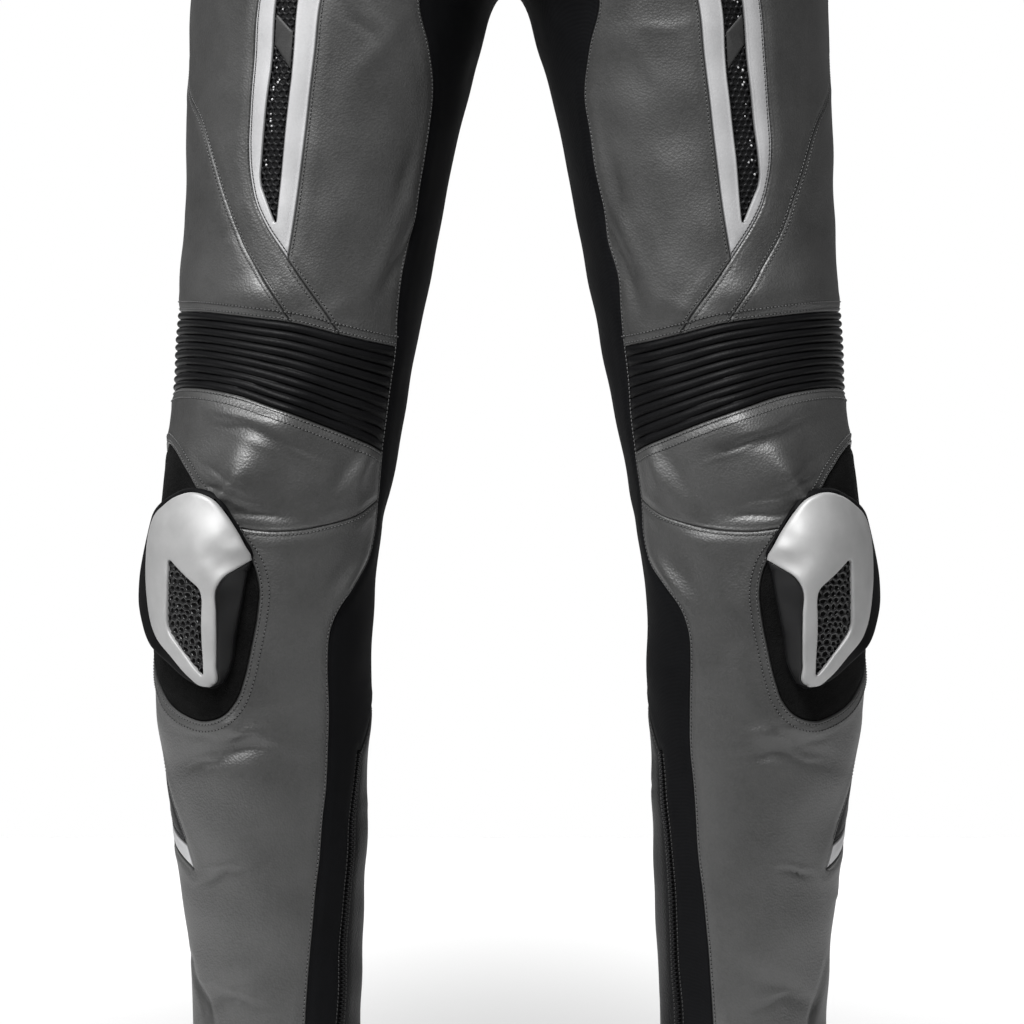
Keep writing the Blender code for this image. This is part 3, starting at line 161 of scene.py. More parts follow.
def smooth_through(places, values, where):
    """A smooth curve through values at ascending places, read at where."""
    slopes = np.gradient(values, places)
    index = np.clip(np.searchsorted(places, where) - 1, 0, len(places) - 2)
    span = places[index + 1] - places[index]
    t = (where - places[index]) / span
    rise = (1 + 2 * t) * (1 - t) ** 2 * values[index] + t * t * (3 - 2 * t) * values[index + 1]
    lean = t * (1 - t) ** 2 * slopes[index] - t * t * (1 - t) * slopes[index + 1]
    return rise + lean * span


def section(z):
    """Middle, half width, middle of the depth and half depth of a leg at heights z."""
    middle, half_width, front, back = (
        smooth_through(SECTIONS[:, 0], SECTIONS[:, column], z) for column in range(1, 5)
    )
    return middle, half_width, (front + back) / 2, (back - front) / 2


def base_point(angle, z):
    """Places on the plain form of the wearer's left leg, by angle round it and height."""
    middle, half_width, mid_depth, half_depth = section(z)
    turn = np.radians(angle)
    x = middle - half_width * np.cos(turn)
    y = mid_depth - half_depth * np.sin(turn)
    return np.stack([x, y, z], axis=-1)


def unit(vectors):
    return vectors / np.linalg.norm(vectors, axis=-1, keepdims=True)


def outward(angle, z):
    """Unit normal of the leg's form, from places a little to each side, above and below."""
    round_leg = base_point(angle + ASIDE, z) - base_point(angle - ASIDE, z)
    up_leg = base_point(angle, z + ABOVE) - base_point(angle, z - ABOVE)
    return unit(np.cross(round_leg, up_leg))


def degree_length(z):
    """Mean arc length of one degree round the leg, in metres."""
    _, half_width, _, half_depth = section(z)
    return np.radians(1.0) * np.sqrt((half_width**2 + half_depth**2) / 2)


def degrees_for(length, z):
    """How many degrees round the leg a length spans at height z."""
    return length / float(degree_length(np.array([z]))[0])


def front_angle(x, z):
    """Angles where the front of the leg's form stands x from the centre plane at heights z."""
    middle, half_width, _, _ = section(np.asarray(z, dtype=float))
    return np.degrees(np.arccos(np.clip((middle - x) / half_width, -1.0, 1.0)))


def front_angle_at(x, z):
    """The same for one place."""
    return float(front_angle(x, np.array([z]))[0])


def crease_rows(leg):
    """All creases of one leg by angle and height. Each leg has worn a little differently."""
    random = np.random.default_rng(41 + leg)
    rows = []
    for x, z, half_length, half_width, slant, out in CREASES:
        shift = random.normal(0.0, CREASE_SHIFT, 2)
        size = random.uniform(0.85, 1.15, 2)
        rows.append((
            front_angle_at(x + shift[0], z), z + shift[1], half_length * size[0], half_width,
            slant + random.normal(0.0, 4.0),
            out * size[1] * (FINE_CREASE_DEPTH if half_width < FINE_CREASE else 1.0),
        ))
    for low, high, bottom, top, count, longest, widest, slant, depth in WORN_AREAS:
        for number in range(count):
            share = random.uniform(0.45, 1.0, 3)
            sign = -1.0 if number % 3 else 0.8
            rows.append((
                random.uniform(low, high), random.uniform(bottom, top), longest * share[0],
                widest * share[1], slant + random.normal(0.0, 13.0), sign * depth * share[2],
            ))
    return np.array(rows)


CREASE_ROWS = (crease_rows(0), crease_rows(1))
SWELL_COUNT = 18
SWELL_PITCH = 75.0
SWELL_HEIGHT = 0.00016
SWELLS = np.random.default_rng(5).normal(0.0, 1.0, (SWELL_COUNT, 3))
SWELL_PHASES = np.random.default_rng(6).uniform(0.0, math.tau, (2, SWELL_COUNT))


def fold_height(rows, angle, z):
    """How far soft-edged folds lift the wall at each place."""
    height = np.zeros_like(z)
    degree = degree_length(z)
    for fold_angle, fold_z, half_length, half_width, slant, out in rows:
        up = z - fold_z
        near = np.nonzero(np.abs(up) < 3 * half_length + 3 * half_width)[0]
        apart = (angle[near] - fold_angle + 180.0) % 360.0 - 180.0
        across = apart * degree[near]
        lean = math.radians(slant)
        along = across * math.cos(lean) + up[near] * math.sin(lean)
        beside = -across * math.sin(lean) + up[near] * math.cos(lean)
        bend = 0.35 * half_width * np.sin(3.0 * along / half_length + 7.0 * fold_angle)
        beside = beside + (bend if half_width < FINE_CREASE else 0.0)
        height[near] += out * np.exp(-((along / half_length) ** 2) - (beside / half_width) ** 2)
    return height


def swell_height(leg, places):
    """A slight unevenness of the leather, some centimetres across."""
    waves = places @ (SWELLS.T * SWELL_PITCH)
    return SWELL_HEIGHT * np.sum(np.sin(waves + SWELL_PHASES[leg]), axis=-1)


def leg_point(angle, z, out=0.0, leg=None):
    """Places on the wearer's left leg. With a leg's number, its creases are in the surface."""
    angle = np.asarray(angle, dtype=float).ravel()
    z = np.asarray(z, dtype=float).ravel()
    base = base_point(angle, z)
    lift = fold_height(FOLDS, angle, z) + out
    if leg is not None:
        lift = lift + fold_height(CREASE_ROWS[leg], angle, z) + swell_height(leg, base)
    places = base + outward(angle, z) * lift[:, None]
    places[:, 0] = np.maximum(places[:, 0], SEAM_GAP / 2)
    return places


# Where seams meet, as angle and height.
CORNERS = {
    "waist_stripe": (108.0, WAIST_SEAM_Z), "waist_side": (188.0, WAIST_SEAM_Z),
    "stripe_top": (106.0, -0.185), "stripe_tip": (98.9, -0.4647),
    "stripe_shoulder": (122.6, -0.363), "diagonal_inner_end": (69.6, -0.5142),
    "diagonal_outer_end": (93.5, -0.5065), "ribs_top_inner": (34.8, -0.5218),
    "ribs_top_outer": (206.0, -0.4985), "ribs_bottom_inner": (28.2, -0.5917),
    "ribs_bottom_outer": (206.0, -0.553), "back_thigh_inner": (327.0, -0.5),
    "gusset_front_top": (front_angle_at(FLY_HALF_WIDTH, FLY_BOTTOM_Z), FLY_BOTTOM_Z),
    "knee_seam_inner": (23.1, -0.6227), "hem_front": (73.0, HEM_Z),
    "gusset_back_top": (360.0 - front_angle_at(0.0, BACK_TOP_Z), BACK_TOP_Z),
    "back_knee_inner": (331.0, -0.757), "wedge_top": (200.0, -0.757),
    "calf_seam_top": (235.0, -0.764), "zip_top_back": (380.5, -0.79),
    "zip_top_front": (384.0, -0.79), "zip_hem_front": (404.2, HEM_Z),
    "zip_hem_back": (399.9, HEM_Z), "patch_front": (110.8, -0.6407),
    "patch_bottom": (122.5, -0.77), "patch_side": (197.0, -0.612), "patch_top": (168.0, -0.586),
    "knee_side": (206.5, -0.612), "silver_upper_tip": (150.5, -0.853),
    "silver_lower_tip": (146.8, -0.869), "silver_upper_back": (235.0, -0.813),
    "silver_lower_back": (235.0, -0.827), "hem_outer": (235.0, HEM_Z),
}
# Each seam runs through named corners and other points of angle and height.
SEAMS = {
    "waist": ("waist_stripe", "waist_side"),
    "hip": ("waist_stripe", (107.0, -0.11), "stripe_top"),
    "stripe_inner": (
        "stripe_top", (99.5, -0.22), (97.7, -0.29), (96.7, -0.357), (96.5, -0.39), (97.3, -0.423),
        "stripe_tip",
    ),
    "stripe_outer": (
        "stripe_top", (116.5, -0.22), (122.7, -0.262), (123.4, -0.3), "stripe_shoulder",
        (121.9, -0.39), (120.0, -0.411), (117.0, -0.426), (110.9, -0.442), "stripe_tip",
    ),
    "knee_diagonal_inner": ("stripe_tip", (89.0, -0.482), (77.5, -0.501), "diagonal_inner_end"),
    "knee_diagonal_outer": (
        "waist_side", (186.0, -0.12), (184.0, -0.205), (182.0, -0.29), (179.0, -0.336),
        (167.5, -0.353), (154.4, -0.3697), (142.6, -0.395), (132.3, -0.4267), (123.6, -0.45),
        (111.5, -0.4733), (102.2, -0.49), "diagonal_outer_end",
    ),
    "ribs_top": (
        "ribs_top_inner", (51.0, -0.5192), "diagonal_inner_end", "diagonal_outer_end",
        (111.0, -0.5033), (140.0, -0.4993), (180.0, -0.498), "ribs_top_outer",
    ),
    "ribs_bottom": (
        "ribs_bottom_inner", (59.4, -0.5793), (78.6, -0.5707), (96.0, -0.5627), (115.0, -0.5547),
        (135.0, -0.55), (157.0, -0.5487), (180.0, -0.5507), "ribs_bottom_outer",
    ),
    "ribs_outer": ("ribs_top_outer", "ribs_bottom_outer"),
    "back_thigh_hem": ("ribs_top_outer", (235.0, -0.495), (280.0, -0.493), "back_thigh_inner"),
    "gusset_front": (
        "gusset_front_top", (63.5, -0.24), (60.0, -0.29), (50.0, -0.322), (41.0, -0.355),
        (38.5, -0.395), (38.2, -0.427), (37.4, -0.451), (40.0, -0.476), (37.5, -0.5),
        "ribs_top_inner", (31.4, -0.5567), "ribs_bottom_inner", "knee_seam_inner", (18.9, -0.643),
        (21.6, -0.663), (34.7, -0.679), (46.0, -0.6953), (51.0, -0.711), (52.4, -0.73),
        (51.0, -0.76), (51.5, -0.792), (54.4, -0.826), (57.7, -0.8587), (61.7, -0.888),
        (65.2, -0.92), (69.5, -0.973), "hem_front",
    ),
    "gusset_back": (
        "gusset_back_top", (306.0, -0.26), (315.0, -0.32), (322.0, -0.4), "back_thigh_inner",
        (330.0, -0.6), (331.0, -0.69), "back_knee_inner",
    ),
    "back_knee_hem": (
        "wedge_top", (216.0, -0.762), "calf_seam_top", (280.0, -0.762), "back_knee_inner",
        (358.0, -0.76), "zip_top_back",
    ),
    "zip_head": ("zip_top_back", "zip_top_front"),
    "zip_front": (
        "zip_top_front", (392.0, -0.838), (394.8, -0.861), (398.3, -0.915), (401.9, -0.973),
        "zip_hem_front",
    ),
    "zip_back": (
        "zip_top_back", (388.5, -0.838), (391.3, -0.861), (394.4, -0.915), (397.7, -0.973),
        "zip_hem_back",
    ),
    "knee_seam": (
        "knee_seam_inner", (42.3, -0.6347), (61.3, -0.6413), (78.2, -0.644), (94.0, -0.644),
        "patch_front",
    ),
    "patch_lower": (
        "patch_front", (102.5, -0.6543), (95.0, -0.668), (91.7, -0.6827), (92.2, -0.6993),
        (95.5, -0.7227), (99.0, -0.7413), (103.5, -0.756), (111.0, -0.766), "patch_bottom",
        (136.0, -0.7667), (151.0, -0.758), (164.0, -0.7453), (179.0, -0.732), (191.0, -0.714),
        (197.5, -0.69), (198.5, -0.65), "patch_side",
    ),
    "patch_upper": (
        "patch_side", (190.5, -0.594), (180.0, -0.5875), "patch_top", (155.0, -0.591),
        (141.0, -0.6043), (130.0, -0.6173), (120.0, -0.6297), "patch_front",
    ),
    "patch_bridge": ("patch_side", "knee_side"),
    "knee_side_upper": ("ribs_bottom_outer", (206.5, -0.582), "knee_side"),
    "knee_side_lower": ("knee_side", (208.0, -0.66), (207.5, -0.71), (204.5, -0.74), "wedge_top"),
    "wedge_front": (
        "wedge_top", (190.0, -0.767), (183.0, -0.78), (176.0, -0.797), (168.5, -0.811),
        (161.8, -0.824), (156.0, -0.838), "silver_upper_tip",
    ),
    "silver_end": ("silver_upper_tip", "silver_lower_tip"),
    "silver_upper": (
        "silver_upper_tip", (165.0, -0.846), (180.0, -0.838), (207.0, -0.824), "silver_upper_back",
    ),
    "silver_lower": (
        "silver_lower_tip", (161.0, -0.86), (177.0, -0.851), (206.0, -0.837), "silver_lower_back",
    ),
    "calf_seam_upper": ("calf_seam_top", "silver_upper_back", "silver_lower_back"),
    "calf_seam_lower": ("silver_lower_back", (235.0, -0.93), "hem_outer"),
    "hem": ("hem_front", "hem_outer", "zip_hem_back", "zip_hem_front", "hem_front"),
}
# Each panel is the area inside a round of corners.
PANELS = {
    "thigh_front": (
        "waist_front", "gusset_front_top", "ribs_top_inner", "diagonal_inner_end", "stripe_tip",
        "stripe_top", "waist_stripe",
    ),
    "thigh_outer": (
        "waist_stripe", "stripe_top", "stripe_shoulder", "stripe_tip", "diagonal_inner_end",
        "diagonal_outer_end", "waist_side",
    ),
    "thigh_back": (
        "waist_side", "diagonal_outer_end", "ribs_top_outer", "back_thigh_inner",
        "gusset_back_top", "waist_back",
    ),
    "gusset_inner": (
        "gusset_front_top", "crotch", "gusset_back_top", "back_thigh_inner", "back_knee_inner",
        "zip_top_back", "zip_top_front", "zip_hem_front", "hem_front", "knee_seam_inner",
        "ribs_bottom_inner", "ribs_top_inner",
    ),
    "knee_upper": (
        "ribs_bottom_inner", "knee_seam_inner", "patch_front", "patch_top", "patch_side",
        "knee_side", "ribs_bottom_outer",
    ),
    "shin": (
        "knee_seam_inner", "hem_front", "hem_outer", "silver_lower_back", "silver_lower_tip",
        "silver_upper_tip", "wedge_top", "knee_side", "patch_side", "patch_bottom", "patch_front",
    ),
    "back_knee": (
        "ribs_top_outer", "ribs_bottom_outer", "knee_side", "wedge_top", "calf_seam_top",
        "back_knee_inner", "back_thigh_inner",
    ),
    "calf_wedge": ("wedge_top", "silver_upper_tip", "silver_upper_back", "calf_seam_top"),
    "calf_strip": (
        "silver_upper_tip", "silver_lower_tip", "silver_lower_back", "silver_upper_back",
    ),
    "calf_back": (
        "calf_seam_top", "silver_upper_back", "silver_lower_back", "hem_outer", "zip_hem_back",
        "zip_top_back", "back_knee_inner",
    ),
}
STRAIGHT = ("hem", "calf_seam_upper", "calf_seam_lower", "waist", "ribs_outer")
CROTCH_RANGE = (-0.285, -0.250)
HALVINGS = 40
CROTCH_READINGS = 800
CROTCH_STATIONS = 44


def crotch_height():
    """The height where the two legs part, found by halving."""
    low, high = CROTCH_RANGE
    for _ in range(HALVINGS):
        mid = (low + high) / 2
        middle, half_width, _, _ = section(np.array([mid]))
        if middle[0] > half_width[0]:
            low = mid
        else:
            high = mid
    return high


CROTCH_Z = crotch_height()


def rise_between(z_start, z_end, x=0.0):
    """Points down the front or back rise, x from the centre plane."""
    count = max(2, round(abs(z_end - z_start) / STATION))
    z = z_start + (z_end - z_start) * np.linspace(0.0, 1.0, count + 1)
    return np.stack([front_angle(x, z), z], axis=-1)


def crotch_curve(z_start):
    """The rise from z_start down to the crotch, even in angle."""
    start = front_angle_at(0.0, z_start)
    levels = np.linspace(CROTCH_Z, z_start, CROTCH_READINGS)
    angles = front_angle(0.0, levels)
    angles[0] = 0.0
    wanted = np.linspace(start, 0.0, CROTCH_STATIONS)
    return np.stack([wanted, np.interp(wanted, angles, levels)], axis=-1)


def steps_along(places):
    """The length of each step from one place to the next."""
    return np.linalg.norm(np.diff(places, axis=0), axis=1)


def travel_along(places):
    """How far each place is from the first, along the line of places."""
    return np.concatenate([[0.0], np.cumsum(steps_along(places))])


def length_of(places):
    """How long the line of places is."""
    return float(np.sum(steps_along(places)))


def read_along(values, travel, where):
    """Rows of values that stand at travel, read at where."""
    return np.stack([np.interp(where, travel, column) for column in values.T], axis=-1)


def spaced(curve, spacing=STATION):
    """Points along a fine curve, at even arc lengths on the leg."""
    travel = travel_along(leg_point(curve[:, 0], curve[:, 1]))
    count = max(1, math.ceil(travel[-1] / spacing - 0.2))
    return read_along(curve, travel, np.linspace(0.0, travel[-1], count + 1))


def fine_steps(points):
    """Readings between points in counts of them, FINE_STEPS from each to the next."""
    return np.arange((len(points) - 1) * FINE_STEPS + 1) / FINE_STEPS


def smooth_curve(points):
    """A fine smooth curve through points."""
    points = np.array(points)
    travel = travel_along(points[:, :2] * FLAT_SCALE)
    where = np.interp(fine_steps(points), np.arange(len(points)), travel)
    return np.stack([smooth_through(travel, column, where) for column in points.T], axis=-1)


def straight_curve(points):
    """A fine curve that runs straight from each point to the next."""
    points = np.array(points)
    return read_along(points, np.arange(len(points)), fine_steps(points))


def seam_curve(name):
    """A seam's fine curve. Each angle is taken within half a turn of the one before it."""
    points = []
    for row in SEAMS[name]:
        angle, z = CORNERS[row] if row in CORNERS else row
        if points:
            angle += 360.0 * round((points[-1][0] - angle) / 360.0)
        points.append((angle, z))
    return straight_curve(points) if name in STRAIGHT else smooth_curve(points)


def make_edges():
    """Station points of each stretch of seam, keyed by the corners at its two ends."""
    edges = {}
    for name, rows in SEAMS.items():
        curve = seam_curve(name)
        corners = [(FINE_STEPS * k, row) for k, row in enumerate(rows) if row in CORNERS]
        for (first, start), (last, end) in zip(corners[:-1], corners[1:]):
            edges[start, end] = spaced(curve[first : last + 1])
    fly = rise_between(WAIST_SEAM_Z, FLY_BOTTOM_Z, FLY_HALF_WIDTH)
    edges["waist_front", "gusset_front_top"] = fly
    front_rise = crotch_curve(FRONT_TOP_Z)
    edges["gusset_front_top", "crotch"] = np.concatenate([
        [CORNERS["gusset_front_top"]], front_rise,
    ])
    back_rise = crotch_curve(BACK_TOP_Z) * [-1.0, 1.0] + [360.0, 0.0]
    edges["crotch", "gusset_back_top"] = back_rise[::-1]
    upper = rise_between(BACK_TOP_Z, WAIST_SEAM_Z) * [-1.0, 1.0] + [360.0, 0.0]
    edges["gusset_back_top", "waist_back"] = upper
    edges["waist_front", "waist_stripe"] = spaced(
        straight_curve([tuple(fly[0]), CORNERS["waist_stripe"]])
    )
    edges["waist_side", "waist_back"] = spaced(
        straight_curve([CORNERS["waist_side"], tuple(upper[-1])])
    )
    return edges


EDGES = make_edges()


def corner_loop(corners):
    """The closed round of station points through the corners."""
    loop = []
    for start, end in zip(corners, corners[1:] + corners[:1]):
        points = EDGES[start, end] if (start, end) in EDGES else EDGES[end, start][::-1]
        if loop:
            points = points + [360.0 * round((loop[-1][0] - points[0][0]) / 360.0), 0.0]
        loop.extend(points[:-1])
    return np.array(loop)


def signed_area(loop):
    """A loop's area, above 0 where it runs anticlockwise."""
    x, y = loop[:, 0], loop[:, 1]
    return 0.5 * np.sum(x * np.roll(y, -1) - y * np.roll(x, -1))


def to_the_left(along):
    """Unit vectors across those along a curve, on its left."""
    along = unit(along)
    return np.stack([-along[:, 1], along[:, 0]], axis=-1)


def inset_loop(loop, distance):
    """The loop moved inwards by a distance along the cloth, with its sharp corners held."""
    if signed_area(loop) < 0:
        loop = loop[::-1]
    scale = np.stack([degree_length(loop[:, 1]), np.ones(len(loop))], axis=-1)
    before = (loop - np.roll(loop, 1, axis=0)) * scale
    after = (np.roll(loop, -1, axis=0) - loop) * scale
    middle = to_the_left(before) + to_the_left(after)
    reach = 2.0 / np.maximum(np.sum(middle * middle, axis=1), 0.12)
    return loop + middle * reach[:, None] * distance / scale


def inside_loop(points, loop):
    """Even-odd test of points against a closed loop."""
    x, y = points[:, 0:1], points[:, 1:2]
    x1, y1 = loop[:, 0], loop[:, 1]
    x2, y2 = np.roll(x1, -1), np.roll(y1, -1)
    crosses = (y1 > y) != (y2 > y)
    with np.errstate(divide="ignore", invalid="ignore"):
        at = x1 + (y - y1) * (x2 - x1) / (y2 - y1)
    return (np.sum(crosses & (x < at), axis=1) % 2) == 1


def inside_loops(points, loops):
    """Which points are inside the first loop and outside the others."""
    keep = inside_loop(points, loops[0])
    for hole in loops[1:]:
        keep &= ~inside_loop(points, hole)
    return keep


def distance_to_loops(points, loops):
    """Least distance on the leg, in metres, from each point to the loops, up to some centimetres."""
    places = base_point(points[:, 0], points[:, 1])
    nearest = np.full(len(points), 1.0)
    for loop in loops:
        start = base_point(loop[:, 0], loop[:, 1])
        along = np.roll(start, -1, axis=0) - start
        lengths = np.maximum(np.sum(along * along, axis=1), 1e-12)
        for first in range(0, len(points), 2000):
            offset = places[first : first + 2000, None, :] - start[None]
            share = np.clip(np.einsum("psk,sk->ps", offset, along) / lengths, 0.0, 1.0)
            apart = offset - share[..., None] * along
            reach = np.sqrt(np.min(np.einsum("psk,psk->ps", apart, apart), axis=1))
            nearest[first : first + 2000] = np.minimum(nearest[first : first + 2000], reach)
    return nearest


# Rows of points stand this share of their spacing apart, so that their triangles are even.
ROW_SHARE = 0.87
RINGS = (0.0004, 0.0008, 0.0013, 0.0021, 0.0032, 0.0048)


def level_row(first, last, z, step):
    """Points at one height, a step of angle apart."""
    angles = np.arange(first, last, step)
    return np.stack([angles, np.full_like(angles, z)], axis=-1)


def with_rings(rows, loops, rings, margin, least_share):
    """The points of rows that lie inside the loops, and rings of points just inside their rims."""
    points = np.concatenate(rows) if rows else np.zeros((0, 2))
    points = points[inside_loops(points, loops)]
    found = [points[distance_to_loops(points, loops) > margin]]
    for distance in rings:
        for number, loop in enumerate(loops):
            ring = inset_loop(loop, distance if number == 0 else -distance)
            ring = ring[inside_loops(ring, loops)]
            if len(ring):
                found.append(ring[distance_to_loops(ring, loops) > least_share * distance])
    return np.concatenate(found)


def inner_points(loops, spacing):
    """Staggered rows of points over a piece, with rings of them just inside its rim."""
    low, high = loops[0].min(axis=0), loops[0].max(axis=0)
    rows = []
    for number, z in enumerate(np.arange(low[1] + spacing / 2, high[1], spacing * ROW_SHARE)):
        step = degrees_for(spacing, z)
        first = math.floor(low[0] / step) * step + (step / 2 if number % 2 else 0.0)
        rows.append(level_row(first, high[0], z, step))
    return with_rings(rows, loops, RINGS, RINGS[-1] + 0.5 * spacing, 0.85)


def triangulate(loops, points):
    """Vertices and triangles that fill the first loop, less the others."""
    ring_edges = []
    first = 0
    for loop in loops:
        count = len(loop)
        ring_edges += [(first + k, first + (k + 1) % count) for k in range(count)]
        first += count
    places = np.concatenate([*loops, points])
    flat = [Vector(row) for row in places * FLAT_SCALE]
    coords, _, faces, *_ = delaunay_2d_cdt(flat, ring_edges, [], 0, 1e-7)
    places = np.array([(c.x, c.y) for c in coords]) / FLAT_SCALE
    middles = places[np.array(faces)].mean(axis=1)
    keep = inside_loops(middles, loops)
    return places, [tuple(face) for face, kept in zip(faces, keep) if kept]


# How far in from a seam the leather's rim wear, painted rim highlight and painted seam shade reach.
RIM_WEAR_AND_SHADE_WIDTH = 0.0016


def rim_edges(faces):
    """Directed edges that only one face has."""
    directed = {(a, b) for face in faces for a, b in zip(face, face[1:] + face[:1])}
    return [edge for edge in sorted(directed) if (edge[1], edge[0]) not in directed]


def in_scene(name, data):
    """A new object at the origin, linked into the scene."""
    made = bpy.data.objects.new(name, data)
    bpy.context.scene.collection.objects.link(made)
    return made


def new_piece(name, verts, faces, leg, sharp=50.0):
    """A piece from points and faces made for leg 0, the left one. Leg 1 has their mirror."""
    if leg:
        verts = verts * np.array([-1.0, 1.0, 1.0])
        faces = [tuple(reversed(face)) for face in faces]
    mesh = bpy.data.meshes.new(name)
    mesh.from_pydata(verts.tolist(), [], faces)
    mesh.shade_smooth()
    mesh.set_sharp_from_angle(angle=math.radians(sharp))
    return in_scene(name, mesh)


def wall_object(name, outer, inner, faces, leg, materials, seam=None, crease=None):
    """A closed wall between two layers of points that share their faces, the outer layer first."""
    used = sorted({vertex for face in faces for vertex in face})
    place_of = {vertex: k for k, vertex in enumerate(used)}
    count = len(used)
    verts = np.concatenate([outer[used], inner[used]])
    top = [tuple(place_of[v] for v in face) for face in faces]
    bottom = [tuple(count + v for v in reversed(face)) for face in top]
    sides = [(b, a, count + a, count + b) for a, b in rim_edges(top)]
    piece = new_piece(name, verts, top + bottom + sides, leg)
    # The seam reading drives the leather's rim wear, painted rim highlight and painted seam shade; the
    # crease reading drives its painted crease light and shade.
    readings = {"seam": None if seam is None else np.exp(-seam / RIM_WEAR_AND_SHADE_WIDTH), "crease": crease}
    for key, values in readings.items():
        if values is not None:
            reading = piece.data.attributes.new(key, "FLOAT", "POINT")
            reading.data.foreach_set("value", np.concatenate([values[used], values[used]]))
    inner_side = np.zeros(len(piece.data.polygons), dtype=np.int32)
    inner_side[len(top) : len(top) + len(bottom)] = 1
    piece.data.polygons.foreach_set("material_index", inner_side)
    for material in materials:
        piece.data.materials.append(material)
    return piece


# The rim of a sewn piece rolls down, has a groove along its stitches, and swells beyond them:
# how far out each takes it, how far from the edge, and over what half width.
ROLL = (-0.0011, 0.0, 0.0007)
GROOVE = (-0.00040, 0.0024, 0.0012)
PUFF = (0.00045, 0.0075, 0.0035)


def swelling(distance, out, middle, half_width):
    """A soft rise or dip, out at its middle."""
    return out * np.exp(-(((distance - middle) / half_width) ** 2))


def edge_roll(seam, stand, puffed=1.0):
    """How far out a sewn piece's face is, by distance from its rim."""
    return stand + swelling(seam, *ROLL) + swelling(seam, *GROOVE) + puffed * swelling(seam, *PUFF)


def painted_crease_light_and_shade(leg, places):
    """How much painted highlight a place gets on a fine crease's ridge (above 0), or painted shade in
    its trough (below 0).
    """
    fine = CREASE_ROWS[leg][CREASE_ROWS[leg][:, 3] < FINE_CREASE]
    return np.clip(fold_height(fine, places[:, 0], places[:, 1]) / CREASE_FULL_SHADE, -1.0, 1.0)


FILLED = {}
LEAST_FILL = 0.35


def filled(name, loops, spacing):
    """The points, faces, distances from the rim and flat size of a cut piece, worked out once."""
    if name not in FILLED:
        outer = inset_loop(loops[0], SEAM_GAP / 2)
        holes = [inset_loop(hole, -SEAM_GAP / 2) for hole in loops[1:]]
        places, faces = triangulate([outer, *holes], inner_points([outer, *holes], spacing))
        seam = distance_to_loops(places, [outer, *holes])
        corners = base_point(places[:, 0], places[:, 1])[np.array(faces)]
        normals = np.cross(corners[:, 1] - corners[:, 0], corners[:, 2] - corners[:, 0])
        area = 0.5 * np.sum(np.linalg.norm(normals, axis=1))
        across = (places[:, 0] - places[:, 0].mean()) * degree_length(places[:, 1])
        length = float(np.ptp(places[:, 1]))
        # A long curved piece is laid out straighter than it sits, so its cut is narrower.
        width = min(float(np.ptp(across)), area / (LEAST_FILL * length))
        FILLED[name] = places, faces, seam, float(area), (width, length)
    return FILLED[name]


SIDES = ("l", "r")
CENTRE_REACH = 0.003


def fit(piece, node=None, body="trousers"):
    """Parents a piece to the empty of the body it rides, and hides the CAD node it stands in for."""
    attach(piece, body)
    if node:
        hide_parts(node)


def cloth_panel(
    name, loops, leg, materials, spacing, stand, wall=WALL, puffed=1.0
):
    """One cut and sewn piece of a leg."""
    places, faces, seam, area, flat = filled(name, loops, spacing)
    angle, z = places.T
    outer = leg_point(angle, z, edge_roll(seam, stand, puffed), leg)
    # Where the legs meet, each one's outer layer laps over the centre plane, which shuts the seam.
    centred = np.clip(1.0 - base_point(angle, z)[:, 0] / CENTRE_REACH, 0.0, 1.0)
    outer[:, 0] -= centred * (SEAM_GAP + outer[:, 0])
    inner = leg_point(angle, z, stand - wall, leg)
    node = f"{name}_{SIDES[leg]}"
    crease = painted_crease_light_and_shade(leg, places)
    piece = wall_object(f"{node}_cloth", outer, inner, faces, leg, materials, seam, crease)
    fit(piece, node)
    area = min(area, flat[0] * flat[1])
    return piece


def add_node(tree, kind, settings=None, **values):
    """A shader node with its settings, and its inputs by name: a value or a socket to link."""
    node = tree.nodes.new(kind)
    for key, value in (settings or {}).items():
        setattr(node, key, value)
    for key, value in values.items():
        socket = node.inputs[int(key[1:])] if key[1:].isdigit() else node.inputs[key.replace("_", " ")]
        if isinstance(value, bpy.types.NodeSocket):
            tree.links.new(value, socket)
        else:
            socket.default_value = value
    return node


def new_material(name, roughness, metallic=0.0, **sockets):
    """A material with its node tree, shader and Object coordinates."""
    material = bpy.data.materials.new(name)
    material.use_nodes = True
    tree = material.node_tree
    shader = tree.nodes["Principled BSDF"]
    shader.inputs["Roughness"].default_value = roughness
    shader.inputs["Metallic"].default_value = metallic
    for key, value in sockets.items():
        shader.inputs[key.replace("_", " ")].default_value = value
    place = tree.nodes.new("ShaderNodeTexCoord").outputs["Object"]
    return material, tree, shader, place


def plug(shader, **outputs):
    """Links each output to the shader's input of that name."""
    for key, output in outputs.items():
        shader.id_data.links.new(output, shader.inputs[key.replace("_", " ")])


def math_node(tree, operation, a, b=0.0, c=0.0):
    return add_node(tree, "ShaderNodeMath", {"operation": operation}, _0=a, _1=b, _2=c).outputs[0]


def weighed(tree, first, first_share, second, second_share):
    """The sum of two readings, each by its share."""
    return math_node(
        tree, "ADD", math_node(tree, "MULTIPLY", first, first_share),
        math_node(tree, "MULTIPLY", second, second_share),
    )


def noise(tree, place, scale, detail=2.0, roughness=0.5):
    node = add_node(
        tree, "ShaderNodeTexNoise", Vector=place, Scale=scale, Detail=detail, Roughness=roughness
    )
    return node.outputs["Fac"]


def ramp(tree, value, stops):
    """A colour ramp from stops of position and grey or colour."""
    node = add_node(tree, "ShaderNodeValToRGB", Fac=value)
    band = node.color_ramp
    while len(band.elements) < len(stops):
        band.elements.new(0.5)
    for element, (position, colour) in zip(band.elements, stops):
        element.position = position
        shades = colour if isinstance(colour, tuple) else (colour, colour, colour)
        element.color = (*shades, 1.0)
    return node.outputs["Color"]


